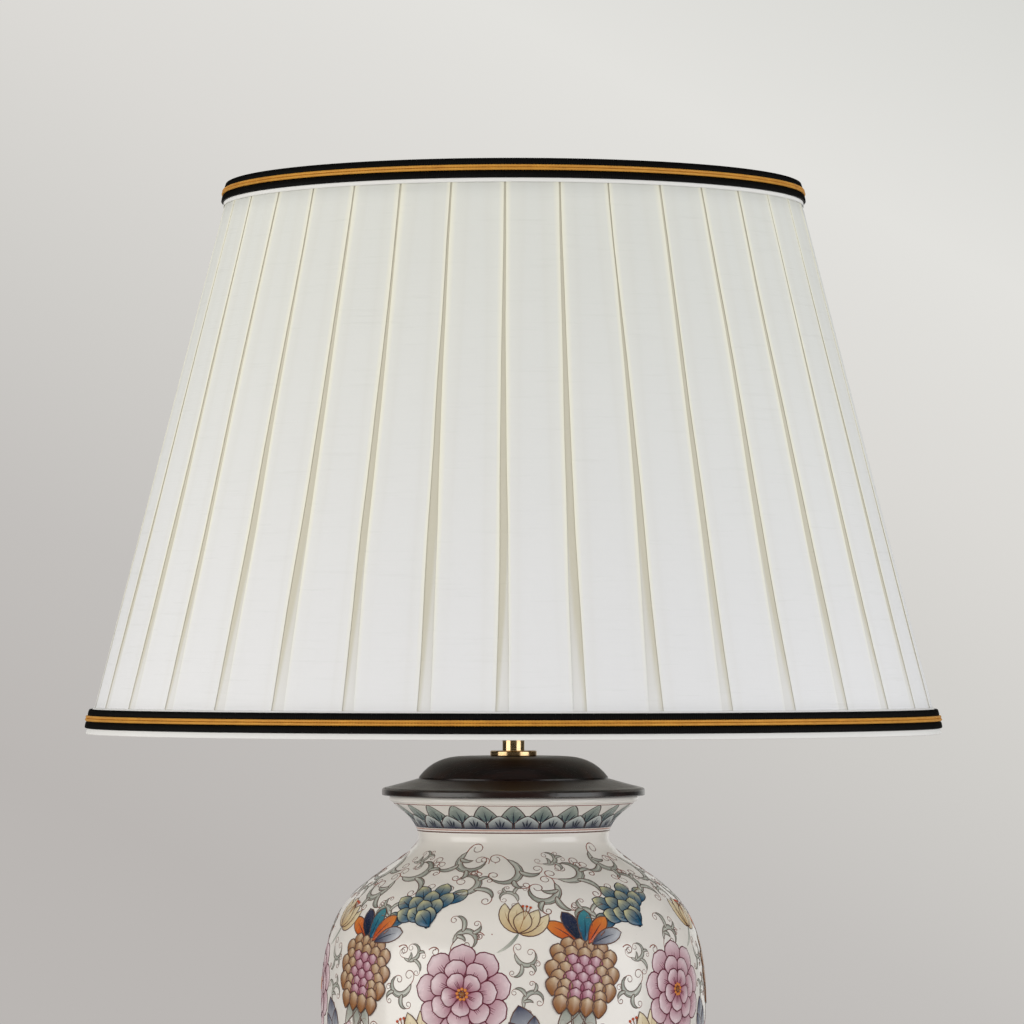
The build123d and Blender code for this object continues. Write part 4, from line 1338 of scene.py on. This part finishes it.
# %% [markdown]
# ## Scrolls between the flowers
# Curling acanthus sprigs fill the ground. A sprig is a comma-shaped leaf with side lobes, and hair
# lines that end in spirals. A spiral is only a line that turns faster as it goes.

# %% Scroll sprigs
comma_steps = 13
curl_steps = 22


def comma(brush, start, heading, length, width, turn, lift=0.1):
    """A comma-shaped leaf, pale in the middle, with an outline and a few hatched veins."""
    path = line_from(start, heading, length, turn, 1.3, comma_steps)
    widths = width * swelling(comma_steps, 0.85, 0.4)
    brush.stroke("scroll", path, widths, pale_sage, sage, sage, lift, fade=1.8)
    brush.contour(path, widths, umber, lift, "scroll_outline")
    hollow = path - left_of(path) * (widths * 0.22)[:, None] * np.sign(turn)
    vein(brush, "scroll", hollow[2:11], 0.2 * width, sage, lift)
    return path


def curl(brush, start, heading, length, turn):
    """A hair line that ends in a spiral."""
    path = line_from(start, heading, length, turn, 1.6, curl_steps)
    brush.stroke("russet", path, 1.15 - 0.35 * np.linspace(0, 1, curl_steps), russet, umber, lift=0.12)


def sprig(brush, chance):
    """One scroll: a main comma, side lobes and curls, varied by a seeded generator."""
    main = comma(brush, (-5, -13), chance.uniform(78, 104), chance.uniform(34, 40), chance.uniform(4.4, 5.4),
                 -chance.uniform(190, 235))
    curl(brush, main[-2], heading_at(main, -2), chance.uniform(17, 22), -360)
    curl(brush, main[0], heading_at(main, 0) + 165, chance.uniform(22, 28), chance.uniform(380, 440))
    lobe = comma(brush, main[4], heading_at(main, 4) + chance.uniform(32, 50), chance.uniform(14, 18), 3.8,
                 chance.uniform(90, 130), 0.13)
    curl(brush, lobe[-2], heading_at(lobe, -2), chance.uniform(16, 20), 390)
    crest = comma(brush, main[7], heading_at(main, 7) + 40, chance.uniform(8, 11), 3.2, 95, 0.14)
    curl(brush, crest[-2], heading_at(crest, -2), chance.uniform(12, 15), 370)
    if chance.random() < 0.6:
        comma(brush, main[2], heading_at(main, 2) - 48, chance.uniform(8, 11), 3.2, -85, 0.14)
    if chance.random() < 0.75:
        curl(brush, main[9], heading_at(main, 9) + 60, chance.uniform(13, 17), 400)


def loose_curl(brush, chance):
    """A single spiral with a dot beside it."""
    curl(brush, (-2, -3), chance.uniform(30, 150), chance.uniform(17, 23), chance.choice((-420, 420)))
    dot(brush, "russet", (3.0, -2.2), 1.1, russet, 0.12)


print("scrolls: sprig and loose curl")

# %% [markdown]
# ## Layout of the jar
# The design repeats five times round the jar. In each fifth, large motifs stand in three zones, turned
# this way and that. Sprigs then take the free ground: a seeded generator throws places at random and
# keeps those that are far enough from all the others.

# %% Large motifs
repeat_count = 5
repeat_angle = 360 / repeat_count
repeat_start = -118.0
# motif, angle in degrees, height in mm, turn in degrees, size, flip, clear ground round it in mm
motif_places = (
    (peony, 13, 250, 12, 1.12, 1, 22),
    (pomegranate, 49, 262, -8, 1.08, 1, 23),
    (lily, 30, 283, -20, 0.95, 1, 13),
    (leaf_cluster, 70, 290, 26, 0.95, -1, 14),
    (bud, 32, 226, 14, 1.0, -1, 16),
    (lily, 69, 222, 30, 1.05, -1, 15),
    (pomegranate, 12, 178, 10, 1.1, -1, 25),
    (peony, 50, 180, -10, 1.15, -1, 23),
    (leaf_cluster, 31, 146, 10, 0.98, 1, 16),
    (bud, 68, 140, -16, 0.95, 1, 15),
    (lily, 10, 112, 16, 1.0, 1, 14),
    (leaf_cluster, 48, 108, -20, 0.9, -1, 14),
)
painter = Brush()
taken = []
for motif, angle, height, turn, scale, flip, clear in motif_places:
    length = length_at(height)
    painter.stand(repeat_start + angle, length, turn, scale, flip)
    motif(painter)
    taken.append((angle, length, clear * scale * MM))
print("large motifs in each fifth:", len(motif_places))

# %% Sprigs in the free ground
chance = np.random.default_rng(11)
ground_low, ground_high = length_at(78), length_at(317)


def free_places(tries, clear):
    """Random places in a fifth of the jar that keep clear of everything placed so far."""
    for attempt in range(tries):
        angle = chance.uniform(0, repeat_angle)
        length = chance.uniform(ground_low, ground_high)
        radius = float(radius_at(length))
        gaps = []
        for other_angle, other_length, other_clear in taken:
            turn = (angle - other_angle + repeat_angle / 2) % repeat_angle - repeat_angle / 2
            gaps.append(math.hypot(math.radians(turn) * radius, length - other_length) - other_clear)
        if min(gaps) > clear:
            taken.append((angle, length, clear))
            yield angle, length


tries = 1500
sprig_sizes = ((0.9, 11.0 * MM), (0.7, 8.5 * MM), (0.52, 6.5 * MM))
curl_clear = 4.2 * MM
sprigs = 0
for size, clear in sprig_sizes:
    for angle, length in free_places(tries, clear):
        turn = chance.uniform(-180, 180)
        scale = size * chance.uniform(0.92, 1.06)
        flip = int(chance.choice((-1, 1)))
        painter.stand(repeat_start + angle, length, turn, scale, flip)
        sprig(painter, chance)
        sprigs += 1
curls = 0
for angle, length in free_places(tries, curl_clear):
    painter.stand(repeat_start + angle, length, 0.0, chance.uniform(0.6, 0.9))
    loose_curl(painter, chance)
    curls += 1
print("in each fifth:", sprigs, "sprigs and", curls, "loose curls")


# %% Five fifths of paint
def fire(brush, prefix, copies):
    """Turn the strokes of each pot round the jar, as one piece a pot."""
    for pot in brush.pots:
        layer = turned(prefix + pot, brush.mesh(pot), copies, enamel)
        give(layer, "base", "porcelain")


fire(painter, "enamel_", repeat_count)

# %% [markdown]
# ## Borders
# A border of lappets, pointed leaves in two rows, lies on the collar between fine lines. The foot has
# a border of its own. A lappet is one wide petal with veins and a dark base, drawn once and turned.

# %% Lappets
lappet_count = 24
lappet_turn = 360 / lappet_count
lappet_steps = 14
lappet_point = 0.62
lappet_arch = 0.74
lappet_rim = 0.5
ink, brick = srgb(78, 50, 52), srgb(142, 68, 54)
green_shade, green_rim = srgb(44, 82, 88), srgb(186, 194, 182)
blue_shade, blue_rim = srgb(14, 24, 64), srgb(222, 230, 224)
greens = (green_shade, green_rim, green_rim)
blues = (blue_shade, blue_rim, blue_rim)


def lappet(brush, pot, turn, low, high, fill, tones, fade, lift):
    """An upright pointed leaf between two heights that fills a share of its place in the row."""
    brush.stand(turn, length_at(low))
    tall = (length_at(high) - length_at(low)) / MM
    path = line_from((0, 0), 90, tall, 0, count=lappet_steps)
    share = np.linspace(0, 1, lappet_steps)
    radii = radius_at(length_at(low) + share * tall * MM) / MM
    arch = np.clip((1 - share) / lappet_point, 0, 1) ** lappet_arch
    widths = math.radians(lappet_turn) * radii * fill * arch
    brush.stroke(pot, path, widths, *tones, lift=lift, fade=fade, rim=lappet_rim)
    brush.contour(path, widths, ink, lift)
    for fan in (-1, 0, 1):
        rib = line_from((fan * 0.9, tall * 0.1), 90 - fan * 20, tall * (0.6 - 0.12 * abs(fan)), fan * -6)
        vein(brush, pot, rib, 0.9, deep_blue, lift)


collar = Brush()
for name, low, middle, high in (("collar", 333.7, 340.4, 346.0), ("foot", 42.0, 52.0, 61.0)):
    lappet(collar, name + "_green", 0.0, low, high, 1.0, greens, 2.0, 0.1)
    lappet(collar, name + "_blue", lappet_turn / 2, low, middle, 0.98, blues, 1.4, 0.22)
fire(collar, "border_", lappet_count)

# %% Lines round the jar
line_steps = 240
line_height = 0.08
line_section = np.array([(-0.5, -Brush.sink), (-0.4, line_height), (0.4, line_height), (0.5, -Brush.sink)])


def ring_line(name, height, width, tone):
    """A painted line all round the jar, as a closed ring with a rounded back."""
    across, lifts = np.hsplit(line_section * MM, 2)
    rings = on_jar(even_angles(line_steps), length_at(height) + across * width, lifts)
    faces = grid_faces(len(line_section), line_steps, rows_close=True, columns_close=True)
    mesh = mesh_of(name, rings.reshape(-1, 3), faces.tolist())
    tint(mesh, [tone] * len(mesh.vertices))
    mesh.materials.append(enamel)
    give(piece_of(name, mesh), "base", "porcelain")


pink_line = srgb(204, 160, 148)
ring_lines = (
    ("line_under_lip", 346.3, 1.0, brick),
    ("line_neck_blue", 333.6, 0.9, deep_blue),
    ("line_neck_pink", 332.6, 0.9, pink_line),
    ("line_neck_brown", 331.3, 0.8, umber),
    ("line_foot_upper", 62.6, 0.9, russet),
    ("line_foot_lower", 41.4, 1.0, umber),
)
for name, height, width, tone in ring_lines:
    ring_line(name, height, width, tone)

# %% [markdown]
# ## Studio
# The lamp stands on a plain pale floor. Two large softboxes beside the camera and a weak one above
# give an even light. The camera sees a soft grey gradient as the backdrop, also through glass. So do
# mirrored rays that go straight back, which brightens the far rim of the glaze. All other mirrored rays
# see a dark room, so brass and glaze show the softboxes as bright bands. Scattered light is an even grey.

# %% Floor
floor_radius = 2.0
floor_fade = (1.2, 1.96)
floor_steps = 96
floor_paint = Finish("floor_paint", Roughness=0.7, Specular_IOR_Level=0.2)
floor_grain = floor_paint.clouds(30.0)
floor_paint.feed(Base_Color=floor_paint.mix(floor_grain, srgb(206, 204, 201), srgb(212, 210, 207)))
away = floor_paint.node("ShaderNodeVectorMath", {"operation": "LENGTH"}, {0: floor_paint.place}, "Value")
floor_paint.feed(Alpha=1 - floor_paint.steps(away, *floor_fade))
floor_points = round_axis(floor_radius, 0.0, even_angles(floor_steps))
floor = piece_of("floor", mesh_of("floor", floor_points, [tuple(range(floor_steps))]))
floor.data.materials.append(floor_paint.material)
print("floor:", 2 * floor_radius, "m across")

# %% Softboxes
lamp_middle = Vector((0.0, 0.0, 0.45))


def softbox(name, place, size, watts, colour):
    """A large rectangular light that faces the lamp."""
    light = bpy.data.lights.new(name, "AREA")
    light.shape = "RECTANGLE"
    light.size, light.size_y = size
    light.energy = watts
    light.color = colour
    box = bpy.data.objects.new(name, light)
    box.location = place
    box.rotation_euler = (lamp_middle - box.location).to_track_quat("-Z", "Y").to_euler()
    bpy.context.scene.collection.objects.link(box)


softboxes = (
    ("softbox_left", (-1.85, -1.2, 0.5), (1.9, 1.4), 22.8, (1.0, 0.982, 0.945)),
    ("softbox_right", (1.85, -1.2, 0.5), (1.9, 1.4), 20.0, (0.985, 0.992, 1.0)),
    ("softbox_above", (0.0, -0.3, 2.3), (1.4, 1.4), 3.0, (1.0, 1.0, 1.0)),
)
for light in softboxes:
    softbox(*light)
print("softboxes:", len(softboxes))

# %% Backdrop
world = bpy.data.worlds.new("studio")
bpy.context.scene.world = world
world.use_nodes = True
world.node_tree.nodes.clear()
room = Net(world.node_tree)
ray = room.node("ShaderNodeTexCoord", output="Generated")
lift_of_view = 0.0279
sweep_across = 2.357
sweep_up = 4.413
sweep_start = -0.5
sweep_length = 1.25
sweep_place = room.part(ray, "X") * sweep_across + (room.part(ray, "Z") - lift_of_view) * sweep_up
sweep_share = (sweep_place - sweep_start) / sweep_length
grey_stops = [(0.04, srgb(186, 182, 179)), (0.224, srgb(195, 192, 189)), (0.4, srgb(208, 206, 202)),
              (0.56, srgb(219, 217, 213)), (0.736, srgb(227, 226, 222)), (0.93, srgb(217, 217, 213))]
backdrop = room.node("ShaderNodeValToRGB", {"stops": grey_stops}, {"Fac": sweep_share})
seen, through, mirrored = (room.node("ShaderNodeLightPath", output=f"Is {kind} Ray")
                           for kind in ("Camera", "Transmission", "Glossy"))
ambient = (0.45, 0.45, 0.45, 1.0)
dark_room = (0.05, 0.048, 0.045, 1.0)
back_from, back_full = 0.75, 0.95
straight_back = room.steps(room.part(ray, "Y"), back_from, back_full)
unseen = room.mix(mirrored, ambient, room.mix(straight_back, dark_room, backdrop))
glow = room.node("ShaderNodeBackground", None, {"Color": room.mix(seen + through, unseen, backdrop)})
sky = world.node_tree.nodes.new("ShaderNodeOutputWorld")
world.node_tree.links.new(glow.socket, sky.inputs["Surface"])
print("backdrop:", len(grey_stops), "greys")
